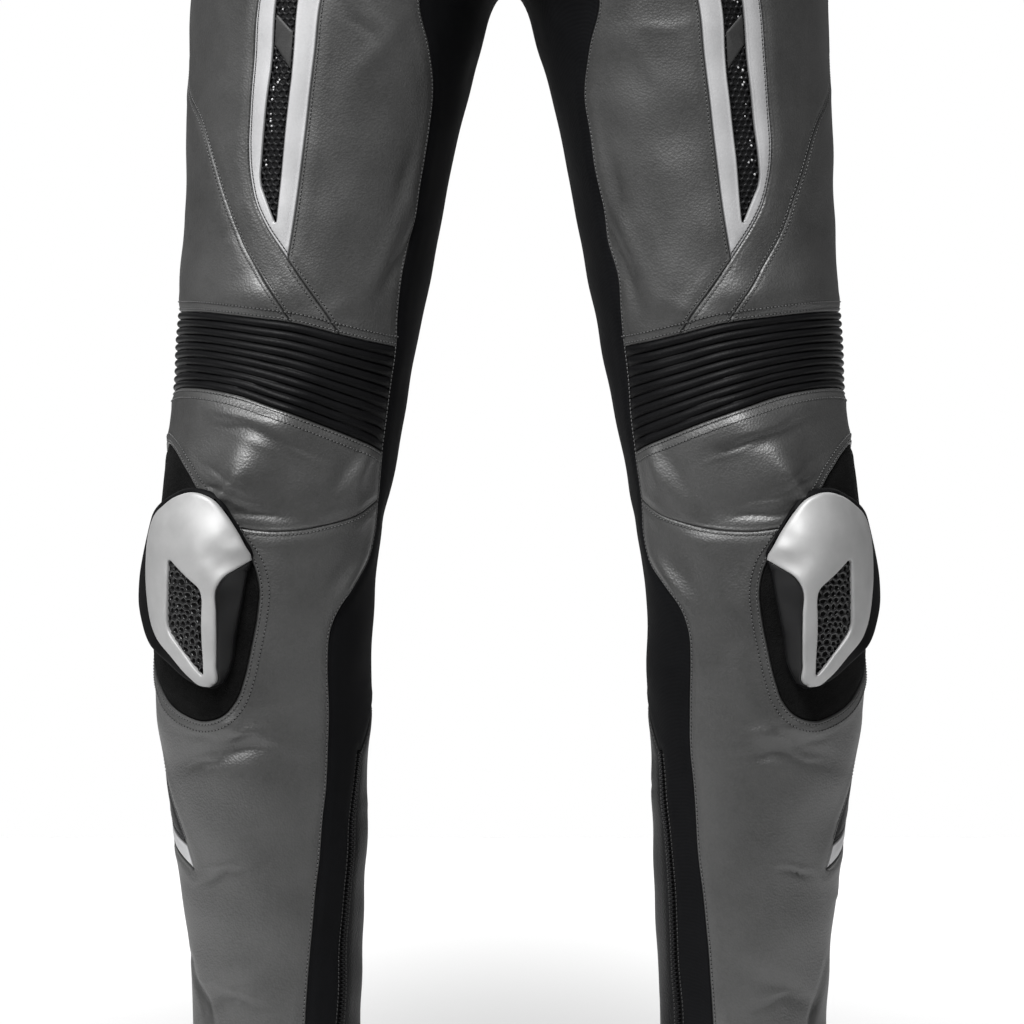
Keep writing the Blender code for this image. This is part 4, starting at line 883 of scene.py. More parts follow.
def tinted(tree, colour, tint):
    """A colour multiplied by another."""
    mix = add_node(tree, "ShaderNodeMix", {"data_type": "RGBA", "blend_type": "MULTIPLY"}, Factor=1.0)
    tree.links.new(colour, mix.inputs["A"])
    tree.links.new(tint, mix.inputs["B"])
    return mix.outputs["Result"]


def bump(tree, height, strength, distance, under=None):
    node = add_node(tree, "ShaderNodeBump", Height=height, Strength=strength, Distance=distance)
    if under is not None:
        tree.links.new(under, node.inputs["Normal"])
    return node.outputs["Normal"]


def leather(name, dark, light, roughness, grain_size, grain_depth, wear_and_rim_highlight, **sockets):
    """Finished cowhide: pebbled grain, pores, faint handling marks, rims rubbed lighter with a painted
    highlight, painted shade at the seam, and painted light and shade on fine creases.
    """
    material, tree, shader, place = new_material(name, roughness, **sockets)
    waver = add_node(
        tree, "ShaderNodeTexNoise", Vector=place, Scale=0.6 / grain_size, Detail=2.0
    ).outputs["Color"]
    push = add_node(
        tree, "ShaderNodeVectorMath", {"operation": "SCALE"}, _0=waver, Scale=0.5 * grain_size
    ).outputs[0]
    warped = add_node(tree, "ShaderNodeVectorMath", {"operation": "ADD"}, _0=place, _1=push).outputs[0]
    pebbles = add_node(
        tree, "ShaderNodeTexVoronoi", {"feature": "F1"}, Vector=warped, Scale=1.0 / grain_size,
        Randomness=1.0,
    ).outputs["Distance"]
    pores = noise(tree, place, 2.2 / grain_size, 3.0, 0.6)
    cloud = noise(tree, place, 22.0, 4.0, 0.6)
    mottle = noise(tree, place, 260.0, 4.0, 0.7)
    seam = add_node(tree, "ShaderNodeAttribute", {"attribute_name": "seam"}).outputs["Fac"]
    grainy = math_node(tree, "ADD", weighed(tree, mottle, 0.34, pebbles, -0.16), 0.10)
    shade = math_node(tree, "ADD", math_node(tree, "MULTIPLY", cloud, 0.60), grainy)
    colour = ramp(tree, shade, ((0.30, dark), (0.70, light)))
    rubbed_and_highlit = 1.0 + wear_and_rim_highlight
    # Painted rim light and shade: a band a millimetre or two in from the seam is lightened, as wear and
    # as a painted highlight on the rolled edge, and the very edge is darkened as painted shade in the
    # seam's groove.
    rim = ramp(tree, seam, ((0.0, 1.0), (0.30, rubbed_and_highlit), (0.50, rubbed_and_highlit), (0.72, 0.45), (1.0, 0.2)))
    # Painted crease light and shade: fine crease troughs are painted darker and their ridges lighter.
    crease = add_node(tree, "ShaderNodeAttribute", {"attribute_name": "crease"}).outputs["Fac"]
    folded = math_node(tree, "MULTIPLY_ADD", crease, 0.5, 0.5)
    crease_light_and_shade = ramp(tree, folded, ((0.0, 0.62), (0.5, 1.0), (1.0, 1.30)))
    colour = tinted(tree, tinted(tree, colour, rim), crease_light_and_shade)
    gloss = weighed(tree, cloud, 0.22, pores, 0.16)
    rough = math_node(tree, "ADD", gloss, roughness - 0.19)
    fine = bump(tree, pores, 0.35, 0.35 * grain_depth)
    grain = bump(tree, pebbles, 0.9, grain_depth, fine)
    plug(shader, Base_Color=colour, Roughness=rough, Normal=grain)
    return material


def suede(name, dark, light):
    """The flesh side of the leather, which shows inside the waist and the hems."""
    material, tree, shader, place = new_material(name, 0.92, Sheen_Weight=0.25, Sheen_Roughness=0.5)
    fluff = noise(tree, place, 900.0, 4.0, 0.7)
    patches = noise(tree, place, 45.0, 3.0)
    shade = weighed(tree, fluff, 0.5, patches, 0.5)
    colour = ramp(tree, shade, ((0.3, dark), (0.7, light)))
    plug(shader, Base_Color=colour, Normal=bump(tree, fluff, 0.6, 0.0004))
    return material


GREY_LEATHER = leather(
    "grey_cowhide", (0.0285, 0.0285, 0.0280), (0.0545, 0.0545, 0.0540), 0.46, 0.00150, 0.00020, 0.32,
    Specular_IOR_Level=0.95,
)
BLACK_LEATHER = leather(
    "black_cowhide", (0.0035, 0.0035, 0.0038), (0.0075, 0.0075, 0.0080), 0.46, 0.00150, 0.00025, 0.45,
    Specular_IOR_Level=0.18,
)
GREY_FLESH = suede("grey_flesh_side", (0.060, 0.058, 0.056), (0.095, 0.092, 0.088))
BLACK_FLESH = suede("black_flesh_side", (0.012, 0.012, 0.012), (0.025, 0.025, 0.024))

GREY_STAND = 0.0005
BLACK_STAND = -0.0003
# Each: the piece, how far apart its points stand, and the pieces it is sewn to.
GREY_PANELS = (
    ("thigh_front", 0.0028, ("waistband",)),
    ("thigh_outer", 0.0036, ("waistband",)),
    ("thigh_back", 0.0055, ("waistband",)),
    ("knee_upper", 0.0017, ("ribs",)),
    ("shin", 0.0024, ("knee_upper",)),
)
BLACK_PANELS = (
    ("calf_wedge", 0.0040, ("shin",)),
    ("calf_back", 0.0048, ("gusset_inner",)),
)


def plain_panels(panels, leg, materials, stand, puffed=1.0):
    """The panels of one leg that are of one material and have no window."""
    for name, spacing, neighbours in panels:
        cloth_panel(
            name, [corner_loop(PANELS[name])], leg, materials, spacing, stand,
            puffed=puffed,
        )


for leg in (0, 1):
    plain_panels(GREY_PANELS, leg, (GREY_LEATHER, GREY_FLESH), GREY_STAND)
    plain_panels(BLACK_PANELS, leg, (BLACK_LEATHER, BLACK_FLESH), BLACK_STAND)

# ---------------------------------------------------------------- black stretch cloth
# Woven aramid stretch cloth 2 mm thick: the long gusset down the inside of each leg and the piece
# behind the knee. It lies a little below the leather that is lapped over its edges and sewn down.
STRETCH_PANELS = (
    ("gusset_inner", 0.0042, ("thigh_front",)),
    ("back_knee", 0.0046, ("thigh_back",)),
)


def bands(tree, place, direction, scale, distortion):
    """Threads or cords as even bands across a cloth."""
    return add_node(
        tree, "ShaderNodeTexWave", {"bands_direction": direction}, Vector=place, Scale=scale,
        Distortion=distortion, Detail=1.0,
    ).outputs["Fac"]


def stretch_cloth(name):
    """A tight plain weave with a faint rib, which shows as a soft sheen at this distance."""
    material, tree, shader, place = new_material(name, 0.78, Specular_IOR_Level=0.08)
    across = bands(tree, place, "Z", 430.0, 0.6)
    along = bands(tree, place, "DIAGONAL", 300.0, 0.6)
    weave = math_node(tree, "MULTIPLY", across, along)
    cloud = noise(tree, place, 30.0, 4.0, 0.6)
    shade = weighed(tree, weave, 0.35, cloud, 0.65)
    colour = ramp(tree, shade, ((0.15, (0.0030, 0.0031, 0.0036)), (0.75, (0.0064, 0.0066, 0.0075))))
    rough = math_node(tree, "ADD", math_node(tree, "MULTIPLY", cloud, 0.2), 0.62)
    plug(shader, Base_Color=colour, Roughness=rough, Normal=bump(tree, weave, 0.5, 0.00018))
    return material


STRETCH_CLOTH = stretch_cloth("black_stretch_weave")
for leg in (0, 1):
    plain_panels(STRETCH_PANELS, leg, (STRETCH_CLOTH, BLACK_FLESH), BLACK_STAND)

# ---------------------------------------------------------------- ribs over the knee
# A black leather stretch panel on each knee, stitched in ten level channels over an elastic
# backing so that it stands in ribs. The grey leather is lapped over its edges above and below.
RIBS = 10
ROWS_PER_RIB = 10
RIB_COLUMNS = 150
RIB_VALLEY = -0.0015
RIB_HEIGHT = 0.0025
RIB_UNDER_LEATHER = 0.0006
RIB_END_SHARE = 0.03
RIB_NEAR_SHARE = 0.45
RIB_WANDER = 0.022
RIB_TAKE_UP = 1.25


def rib_grid():
    """Angles and heights of the ribbed panel's points, row by row from its top seam down."""
    top = np.concatenate([
        EDGES["ribs_top_inner", "diagonal_inner_end"][:-1],
        EDGES["diagonal_inner_end", "diagonal_outer_end"][:-1],
        EDGES["diagonal_outer_end", "ribs_top_outer"],
    ])
    bottom = EDGES["ribs_bottom_inner", "ribs_bottom_outer"]
    rims = []
    for rim in (top, bottom):
        rims.append(read_along(rim, np.arange(len(rim)), np.linspace(0, len(rim) - 1, RIB_COLUMNS)))
    down = np.linspace(0.0, 1.0, RIBS * ROWS_PER_RIB + 1)[:, None, None]
    return rims[0][None] + (rims[1] - rims[0])[None] * down


def rib_wander(rows, across, leg):
    """How far the channels between the ribs wander from level, in shares of a rib."""
    random = np.random.default_rng(90 + leg)
    wander = np.zeros((rows, len(across)))
    for rib in range(RIBS + 1):
        wave = sum(
            random.normal(0.0, RIB_WANDER)
            * np.sin(turn * math.pi * across + random.uniform(0.0, 6.0))
            for turn in (2.0, 5.0, 9.0)
        )
        near = np.exp(-(((np.arange(rows) / ROWS_PER_RIB - rib) / RIB_NEAR_SHARE) ** 2))
        wander += near[:, None] * wave[None] * (0.0 if rib in (0, RIBS) else 1.0)
    return wander


def grid_faces(rows, columns, flipped=False):
    """The quads of a grid of points, row by row."""
    faces = []
    for row in range(rows - 1):
        for a in range(row * columns, (row + 1) * columns - 1):
            b, c, d = a + 1, a + 1 + columns, a + columns
            faces.append((a, d, c, b) if flipped else (a, b, c, d))
    return faces


def build_ribs(leg, material):
    grid = rib_grid()
    rows, columns = grid.shape[:2]
    across = np.linspace(0.0, 1.0, columns)
    phase = np.arange(rows)[:, None] / ROWS_PER_RIB + rib_wander(rows, across, leg)
    crest = np.abs(np.sin(math.pi * phase)) ** 0.5
    ends = np.clip(np.minimum(across, 1.0 - across) / RIB_END_SHARE, 0.0, 1.0) ** 0.5
    height = RIB_HEIGHT * (0.45 + 0.55 * ends)[None] * crest * (1.0 + 0.06 * np.sin(23.0 * across))
    out = RIB_VALLEY + height - RIB_UNDER_LEATHER * (1.0 - ends)[None]
    angle, z = grid[..., 0].ravel(), grid[..., 1].ravel()
    outer = leg_point(angle, z, out.ravel(), leg)
    inner = leg_point(angle, z, RIB_VALLEY - WALL, leg)
    node = f"ribs_{SIDES[leg]}"
    piece = wall_object(
        f"{node}_leather", outer, inner, grid_faces(rows, columns, flipped=True), leg,
        (material, BLACK_FLESH), np.full(len(angle), 1.0),
    )
    fit(piece, node)
    side = base_point(grid[:, columns // 2, 0], grid[:, columns // 2, 1])
    rim = base_point(grid[0, :, 0], grid[0, :, 1])
    flat = (length_of(rim), length_of(side) * RIB_TAKE_UP)


RIB_LEATHER = leather(
    "rib_leather", (0.0034, 0.0034, 0.0038), (0.0060, 0.0060, 0.0066), 0.50, 0.0010, 0.00012, 0.0,
    Specular_IOR_Level=0.12,
)
for leg in (0, 1):
    build_ribs(leg, RIB_LEATHER)

# ---------------------------------------------------------------- silver stripes and inset
# A pointed stripe of silver-coated leather is let into the front of each thigh, with a window that
# shows perforated black leather, and a narrow silver strip crosses the outer calf. All are sewn.
SILVER_STAND = GREY_STAND - 0.0002
SILVER_STRIPS = (
    ("calf_strip", 0.0030, ("shin", "calf_back")),
)
INSET_DEPTH = 0.0012
INSET_BACK_STAND = -INSET_DEPTH - 0.0012
INSET = (
    (110.5, -0.212), (114.0, -0.24), (115.6, -0.29), (114.6, -0.34), (114.8, -0.376),
    (115.3, -0.4095), (114.4, -0.4165), (106.0, -0.4415), (105.4, -0.39), (105.4, -0.345),
    (107.0, -0.29), (108.2, -0.24),
)
SILVER_LEATHER = leather(
    "silver_coated_leather", (0.430, 0.430, 0.437), (0.500, 0.500, 0.507), 0.45, 0.0016, 0.00006,
    0.10, Metallic=0.2,
)
INSET_LEATHER = leather(
    "perforated_leather", (0.0045, 0.0045, 0.0050), (0.0105, 0.0105, 0.0115), 0.40, 0.0009, 0.0001, 0.0,
    Specular_IOR_Level=0.18,
)
BAR_LEATHER = leather(
    "inset_bar_leather", (0.028, 0.028, 0.028), (0.040, 0.040, 0.040), 0.50, 0.0012, 0.0001, 0.0,
    Specular_IOR_Level=0.3,
)
INSET_LEATHER_THICKNESS = 0.0014
WINDOW_CORNER = 0.0022
HOLE_PITCH = 0.0045
HOLE_SHARE = 0.62
HOLE_JITTER = 0.12
BAR = ((116.4, -0.3020), (114.4, -0.3030), (104.4, -0.3190), (104.4, -0.3425), (116.4, -0.3185))
BAR_THICKNESS = 0.0009
BAR_EDGE_DROP = 0.0006
DOT_COUNT = 16
DOT_SIDES = 6
DOT_HEIGHT = 0.0005
# The dots lie along this stretch of the window's rim: least angle, lowest and highest.
DOT_AREA = (110.5, -0.412, -0.292)


def resampled(curve, spacing):
    """Points spaced evenly along a curve of angle, height and any further columns."""
    travel = travel_along(curve[:, :2] * FLAT_SCALE)
    wanted = np.linspace(0.0, travel[-1], max(2, round(travel[-1] / spacing)) + 1)
    return read_along(curve, travel, wanted)


def closed_loop(loop, spacing):
    """Points spaced evenly all the way round a loop."""
    return resampled(np.concatenate([loop, loop[:1]]), spacing)[:-1]


def small_corners(loop, cut):
    """A loop of straight sides with each corner cut back by a short arc."""
    result = []
    for before, corner, after in zip(np.roll(loop, 1, axis=0), loop, np.roll(loop, -1, axis=0)):
        ends = []
        for other in (before, after):
            length = np.linalg.norm((other - corner)[:2] * FLAT_SCALE)
            ends.append(corner + (other - corner) * min(cut / length, 0.4))
        for share in (0.0, 0.33, 0.67, 1.0):
            a = ends[0] + (corner - ends[0]) * share
            b = corner + (ends[1] - corner) * share
            result.append(a + (b - a) * share)
    return np.array(result)


def jittered_cells(loop, pitch, jitter, random):
    """Cell middles on a staggered grid over a loop, and a border of them round it."""
    low, high = loop.min(axis=0), loop.max(axis=0)
    middles = []
    border = 3 * pitch
    for row, z in enumerate(np.arange(low[1] - border, high[1] + border, ROW_SHARE * pitch)):
        step = degrees_for(pitch, z)
        start = low[0] - 3 * step + (step / 2 if row % 2 else 0.0)
        for angle in np.arange(start, high[0] + 3 * step, step):
            aside = random.uniform(-jitter, jitter) * step
            middles.append((angle + aside, z + random.uniform(-jitter, jitter) * pitch))
    return np.array(middles)


def ring_faces(rings, count, first=0):
    """The quads between rings of points, each ring joined to the next."""
    faces = []
    for start in range(first, first + (rings - 1) * count, count):
        for k in range(count):
            a, b = start + k, start + (k + 1) % count
            faces.append((a, b, b + count, a + count))
    return faces


def cell_plate(middles, loop, share, place_at):
    """A plate of open cells round the middles: the bar between two cells has a rounded top."""
    flat = [Vector(row) for row in middles * FLAT_SCALE]
    coords, _, faces, *_ = delaunay_2d_cdt(flat, [], [], 0, 1e-9)
    points = np.array([(c.x, c.y) for c in coords])
    around = [[] for _ in points]
    for number, face in enumerate(faces):
        for corner in face:
            around[corner].append(number)
    corners = points[np.array(faces)].mean(axis=1)
    inside = inside_loop(points / FLAT_SCALE, loop)
    # Rings from the rim of a cell inwards, by size and level: the bar's crest, shoulder and foot.
    levels = ((1.0, 0.0), (0.5 + share / 2, -0.10), (share, -0.45), (share * 0.94, -1.0))
    verts, quads = [], []
    for number in np.nonzero(inside)[0]:
        ring = corners[around[number]]
        turn = np.arctan2(ring[:, 1] - points[number, 1], ring[:, 0] - points[number, 0])
        ring = ring[np.argsort(turn)]
        if len(ring) < 4 or not inside_loop(ring / FLAT_SCALE, loop).all():
            continue
        middle = ring.mean(axis=0)
        first = len(verts)
        for size, level in levels:
            for corner in ring:
                spot = (middle + (corner - middle) * size) / FLAT_SCALE
                verts.append((spot[0], spot[1], level))
        quads += ring_faces(len(levels), len(ring), first)
    verts = np.array(verts)
    return place_at(verts[:, 0], verts[:, 1], verts[:, 2]), quads


def mesh_object(name, verts, faces, leg, material, sharp=50.0):
    """A piece of one material."""
    piece = new_piece(name, verts, faces, leg, sharp)
    piece.data.materials.append(material)
    return piece


def perforated_top(window, leg):
    """The punched face of the inset: leather round its holes, over the piece underneath."""
    random = np.random.default_rng(17 + leg)
    cells = jittered_cells(window, HOLE_PITCH, HOLE_JITTER, random)

    def place_at(angle, z, level):
        return leg_point(angle, z, -INSET_DEPTH + INSET_LEATHER_THICKNESS * level, leg)

    verts, quads = cell_plate(cells, window, HOLE_SHARE, place_at)
    piece = mesh_object(f"inset_holes_{SIDES[leg]}", verts, quads, leg, INSET_LEATHER)
    fit(piece)
    return piece


def inset_bar(window, leg):
    """A plain bar of smooth leather bonded slantwise over the punched face."""
    loop = closed_loop(np.array(BAR), 0.0012)
    loop = loop[inside_loop(loop, window)]
    places, faces = triangulate([loop], inner_points([loop], 0.003))
    edge = distance_to_loops(places, [loop])
    lift = -INSET_DEPTH + BAR_THICKNESS - swelling(edge, BAR_EDGE_DROP, 0.0, 0.0006)
    outer = leg_point(places[:, 0], places[:, 1], lift, leg)
    inner = leg_point(places[:, 0], places[:, 1], -INSET_DEPTH - 0.0002, leg)
    name = f"inset_bar_{SIDES[leg]}"
    bar = wall_object(name, outer, inner, faces, leg, (BAR_LEATHER, BLACK_FLESH))
    fit(bar)
    return bar


def reflective_dots(window, leg):
    """Small glass-bead dots bonded to the punched face near its outer edge."""
    random = np.random.default_rng(23 + leg)
    rim = inset_loop(window, 0.0030)
    least_angle, lowest, highest = DOT_AREA
    outer_side = rim[(rim[:, 0] > least_angle) & (rim[:, 1] > lowest) & (rim[:, 1] < highest)]
    shape = []
    for size, level in ((1.0, 0.0), (0.75, 0.7), (0.0, 1.0)):
        for turn in np.arange(DOT_SIDES) * math.tau / DOT_SIDES if size else (0.0,):
            shape.append((size * math.cos(turn), size * math.sin(turn), level))
    shape = np.array(shape)
    around = [(DOT_SIDES + k, DOT_SIDES + (k + 1) % DOT_SIDES) for k in range(DOT_SIDES)]
    faces = ring_faces(2, DOT_SIDES) + [(a, b, 2 * DOT_SIDES) for a, b in around]
    lots = []
    for angle, z in outer_side[random.choice(len(outer_side), DOT_COUNT, replace=False)]:
        angle = angle - abs(random.normal(0.0, 1.2))
        radius = random.uniform(0.0005, 0.0010)
        spots = shape * [degrees_for(radius, z), radius, DOT_HEIGHT]
        verts = leg_point(angle + spots[:, 0], z + spots[:, 1], -INSET_DEPTH + spots[:, 2], leg)
        lots.append((verts, faces))
    verts, faces = gathered(lots)
    dots = mesh_object(f"inset_dots_{SIDES[leg]}", verts, faces, leg, SILVER_LEATHER)
    fit(dots)
    return dots


def gathered(lots):
    """Several lots of points and faces as one."""
    verts, faces, first = [], [], 0
    for lot_verts, lot_faces in lots:
        verts.append(lot_verts)
        faces += [tuple(first + v for v in face) for face in lot_faces]
        first += len(lot_verts)
    return np.concatenate(verts), faces


def build_stripe(leg):
    ring = corner_loop(("stripe_top", "stripe_shoulder", "stripe_tip"))
    window = closed_loop(small_corners(np.array(INSET), WINDOW_CORNER), 0.0016)
    cloth_panel(
        "stripe_frame", [ring, window], leg, (SILVER_LEATHER, GREY_FLESH),
        0.0036, SILVER_STAND, puffed=0.0,
    )
    top = perforated_top(inset_loop(window, -0.0028), leg)
    under = cloth_panel(
        "stripe_inset", [window], leg, (BLACK_LEATHER, BLACK_FLESH),
        0.0034, INSET_BACK_STAND,
    )
    top.parent = under
    inset_bar(inset_loop(window, 0.0008), leg).parent = under
    reflective_dots(window, leg).parent = under


for leg in (0, 1):
    build_stripe(leg)
    plain_panels(
        SILVER_STRIPS, leg, (SILVER_LEATHER, BLACK_FLESH), SILVER_STAND, puffed=0.0
    )

# ---------------------------------------------------------------- knee sliders
# On the outer side of each knee a patch of black pile carries the slider: a moulded black base
# with a satin metal shell pressed over it, a smooth black face towards the shin, and a window of
# moulded netting. The base grips the pile, so the slider pulls off when it is worn down.
PATCH_STAND = -0.0004
SLIDER_CLEARANCE = 0.0022
SHELL_WALL = 0.004
SIDE_WALL = 0.0022
SIDE_RECESS = 0.0006
SLIDER_GAP = 0.0004
BASE_LEAST_WALL = 0.0008
BASE_UNDER_SHELL = 0.0022
BASE_UNDER_SIDE = 0.0028
MESH_RECESS = 0.0022
NET_THICKNESS = 0.0016
NET_BACK_DEPTH = 0.0012
NET_CORNER = 0.0045
CELL_PITCH = 0.0045
CELL_JITTER = 0.38
CELL_SHARE = 0.56
# How each rim of a moulded piece is rounded: over what width, and how far down it drops.
SHELL_EDGES = ((0.0018, 0.0015), (0.0018, 0.0013))
BASE_EDGES = ((0.0020, 0.0016),)
SIDE_EDGES = ((0.0012, 0.0008),)
NET_BACK_EDGES = ((0.0010, 0.0),)
PLATE_RINGS = (0.00025, 0.0007, 0.0014, 0.0024)
PLATE_MARGIN = 0.0034
# Places on the slider as angle, height and how far it stands off the leg's form.
SHELL_OUTLINE = (
    (126.3, -0.6187, 0.012), (118.4, -0.6222, 0.012), (110.7, -0.632, 0.0115),
    (103.3, -0.6453, 0.0105), (96.9, -0.6588, 0.009),
)
SHELL_RIDGE = (
    (96.1, -0.6622, 0.0085), (101.0, -0.6665, 0.015), (106.0, -0.6718, 0.0215),
    (108.2, -0.6774, 0.0235), (108.5, -0.696, 0.0235), (108.5, -0.7124, 0.0225),
    (109.5, -0.7292, 0.019), (110.9, -0.7423, 0.0155),
)
SHELL_LOWER = (
    (114.2, -0.7452, 0.0135), (119.1, -0.7444, 0.013), (124.4, -0.7395, 0.0125),
    (136.8, -0.7242, 0.012), (148.4, -0.713, 0.0101), (156.0, -0.7018, 0.0086),
    (162.0, -0.6857, 0.0079), (165.5, -0.6653, 0.0079), (165.3, -0.6462, 0.0079),
    (159.3, -0.6353, 0.0084), (147.0, -0.6271, 0.0104), (135.7, -0.621, 0.012),
)
SHELL_CROWN = (
    (119.1, -0.6335, 0.0165), (109.8, -0.6445, 0.0172), (103.0, -0.6545, 0.0160),
    (127.8, -0.6428, 0.0192), (121.4, -0.6494, 0.0214), (116.0, -0.6566, 0.0228),
    (112.6, -0.6659, 0.0232), (112.6, -0.6580, 0.0211), (108.3, -0.6657, 0.0201),
    (105.0, -0.6599, 0.0170),
    (142.5, -0.6405, 0.0155), (153.5, -0.6515, 0.0129), (143.5, -0.6605, 0.0159),
    (152.5, -0.6785, 0.013), (144.0, -0.6965, 0.0143), (133.4, -0.7145, 0.016),
    (121.5, -0.7335, 0.0165), (112.1, -0.7065, 0.0225), (112.1, -0.7265, 0.019),
    (111.1, -0.6885, 0.0235),
)
MESH_WINDOW = (
    (134.8, -0.6606, 0.018), (125.8, -0.6696, 0.0205), (116.1, -0.6795, 0.0225),
    (114.8, -0.6866, 0.0225), (114.8, -0.7133, 0.021), (115.5, -0.7387, 0.017),
    (125.3, -0.7231, 0.0165), (135.2, -0.7068, 0.016), (135.7, -0.6826, 0.017),
)
BASE_INNER = (
    (97.6, -0.6705, 0.0062), (99.2, -0.6887, 0.0062), (102.1, -0.7109, 0.0062),
    (105.2, -0.7341, 0.0062), (109.2, -0.744, 0.0062),
)
BASE_OUTER = (
    (114.2, -0.7477, 0.005), (125.6, -0.7445, 0.0055), (143.0, -0.731, 0.006), (157.0, -0.72, 0.008),
    (170.0, -0.708, 0.0080), (180.0, -0.692, 0.01), (184.0, -0.672, 0.01), (183.0, -0.65, 0.0072),
    (175.5, -0.635, 0.0050), (162.0, -0.627, 0.0050), (148.0, -0.6205, 0.0050), (130.0, -0.6155, 0.006),
    (118.0, -0.6195, 0.0055), (109.0, -0.633, 0.005), (101.0, -0.648, 0.005), (95.9, -0.66, 0.0045),
    (96.3, -0.665, 0.0045),
)


def pile_material():
    """Hook-and-loop pile: short black loops, matt, with a little dust of light on their tips."""
    material, tree, shader, place = new_material("black_pile", 0.95, Specular_IOR_Level=0.1)
    tufts = add_node(
        tree, "ShaderNodeTexVoronoi", {"feature": "F1"}, Vector=place, Scale=1100.0
    ).outputs["Distance"]
    fluff = noise(tree, place, 420.0, 4.0, 0.7)
    patches = noise(tree, place, 60.0, 3.0)
    shade = weighed(tree, fluff, 0.5, patches, 0.5)
    colour = ramp(tree, shade, ((0.3, 0.0020), (0.72, 0.0085)))
    fluffy = bump(tree, fluff, 0.8, 0.0007)
    plug(shader, Base_Color=colour, Normal=bump(tree, tufts, 0.8, 0.0006, fluffy))
    return material


def satin_material():
    """Satin-finished alloy with fine brushing, faint scuffs and a duller film in places."""
    material, tree, shader, place = new_material("satin_alloy", 0.52, 0.30)
    stretched = add_node(tree, "ShaderNodeMapping", Vector=place)
    stretched.inputs["Scale"].default_value = (1.0, 1.0, 0.12)
    brushed = noise(tree, stretched.outputs["Vector"], 1500.0, 3.0, 0.6)
    film = noise(tree, place, 55.0, 4.0, 0.6)
    colour = ramp(tree, film, ((0.3, 0.390), (0.7, 0.450)))
    rough = math_node(tree, "ADD", weighed(tree, film, 0.14, brushed, 0.08), 0.44)
    plug(shader, Base_Color=colour, Roughness=rough, Normal=bump(tree, brushed, 0.12, 0.00005))
    return material


def moulded_material(name, dark, light, roughness, level):
    """Moulded black plastic with a fine spark-eroded texture and soft handling marks."""
    material, tree, shader, place = new_material(name, roughness, Specular_IOR_Level=level)
    texture = noise(tree, place, 1800.0, 2.0)
    marks = noise(tree, place, 70.0, 4.0, 0.65)
    colour = ramp(tree, marks, ((0.3, dark), (0.7, light)))
    rough = math_node(tree, "ADD", math_node(tree, "MULTIPLY", marks, 0.16), roughness - 0.08)
    plug(shader, Base_Color=colour, Roughness=rough, Normal=bump(tree, texture, 0.25, 0.00006))
    return material


PLATE_SCALE = 10.0


def stiff_surface(rows, smoothing=1e-4):
    """A smooth height over angle and z, bent like a thin plate through rows of all three."""
    rows = np.array(rows)
    known = rows[:, :2] * FLAT_SCALE * PLATE_SCALE
    count = len(rows)

    def bend(apart):
        return apart * apart * np.log(np.maximum(apart, 1e-9))

    apart = np.linalg.norm(known[:, None] - known[None], axis=2)
    system = np.zeros((count + 3, count + 3))
    system[:count, :count] = bend(apart) + smoothing * np.eye(count)
    system[:count, count:] = np.concatenate([np.ones((count, 1)), known], axis=1)
    system[count:, :count] = system[:count, count:].T
    wanted = np.concatenate([rows[:, 2], np.zeros(3)])
    weights = np.linalg.solve(system, wanted)

    def height(places):
        spots = places[:, :2] * FLAT_SCALE * PLATE_SCALE
        reach = np.linalg.norm(spots[:, None] - known[None], axis=2)
        level = np.concatenate([np.ones((len(spots), 1)), spots], axis=1) @ weights[count:]
        return bend(reach) @ weights[:count] + level

    return height


def moulded_plate(name, loops, height, floor, edges, leg, material, spacing=0.0022):
    """A moulded plate over the leg's form: its top rolls down at each loop by that loop's edge."""
    places, faces = filled_plate(name, loops, spacing)
    top = height(places)
    for loop, (radius, drop) in zip(loops, edges):
        apart = np.clip(distance_to_loops(places, [loop]) / radius, 0.0, 1.0)
        top = top - drop * (1.0 - np.sqrt(np.clip(1.0 - (1.0 - apart) ** 2, 0.0, 1.0)))
    outer = leg_point(places[:, 0], places[:, 1], top)
    inner = leg_point(places[:, 0], places[:, 1], np.minimum(floor(places), top - 0.0004))
    node = f"{name}_{SIDES[leg]}"
    piece = wall_object(f"{node}_moulded", outer, inner, faces, leg, (material, material))
    fit(piece, None if name == "slider_net_back" else node)
    return piece


PLATES = {}


def filled_plate(name, loops, spacing):
    """Points and faces of a plate, closer together near its rims, where it is rounded."""
    if name not in PLATES:
        low, high = loops[0].min(axis=0), loops[0].max(axis=0)
        rows = []
        for number, z in enumerate(np.arange(low[1], high[1], spacing * ROW_SHARE)):
            step = degrees_for(spacing, z)
            first = low[0] + (step / 2 if number % 2 else 0.0)
            rows.append(level_row(first, high[0], z, step))
        points = with_rings(rows, loops, PLATE_RINGS, PLATE_MARGIN, 0.8)
        PLATES[name] = triangulate(loops, points)
    return PLATES[name]


def slider_curve(*tables):
    """One smooth stretch of a slider's rim, as angle and height, through the rows of tables."""
    return resampled(smooth_curve(np.concatenate(tables)), 0.0012)[:, :2]


def lowered(rows, depth):
    return np.array(rows) - [0.0, 0.0, depth]


RIDGE = slider_curve(SHELL_RIDGE, SHELL_LOWER[:1])
SHELL_LOOP = np.concatenate([slider_curve(SHELL_LOWER, SHELL_OUTLINE), RIDGE[:-1]])
FOOT_INNER = slider_curve(BASE_INNER)
BASE_LOOP = np.concatenate([slider_curve(BASE_OUTER, BASE_INNER[:1])[:-1], FOOT_INNER])
SIDE_LOOP = inset_loop(np.concatenate([RIDGE, FOOT_INNER[::-1]]), SLIDER_GAP)
WINDOW_CORNERS = np.array(MESH_WINDOW)[[0, 2, 3, 5, 7]]
NET_LOOP = closed_loop(small_corners(WINDOW_CORNERS, NET_CORNER), 0.0010)[:, :2]


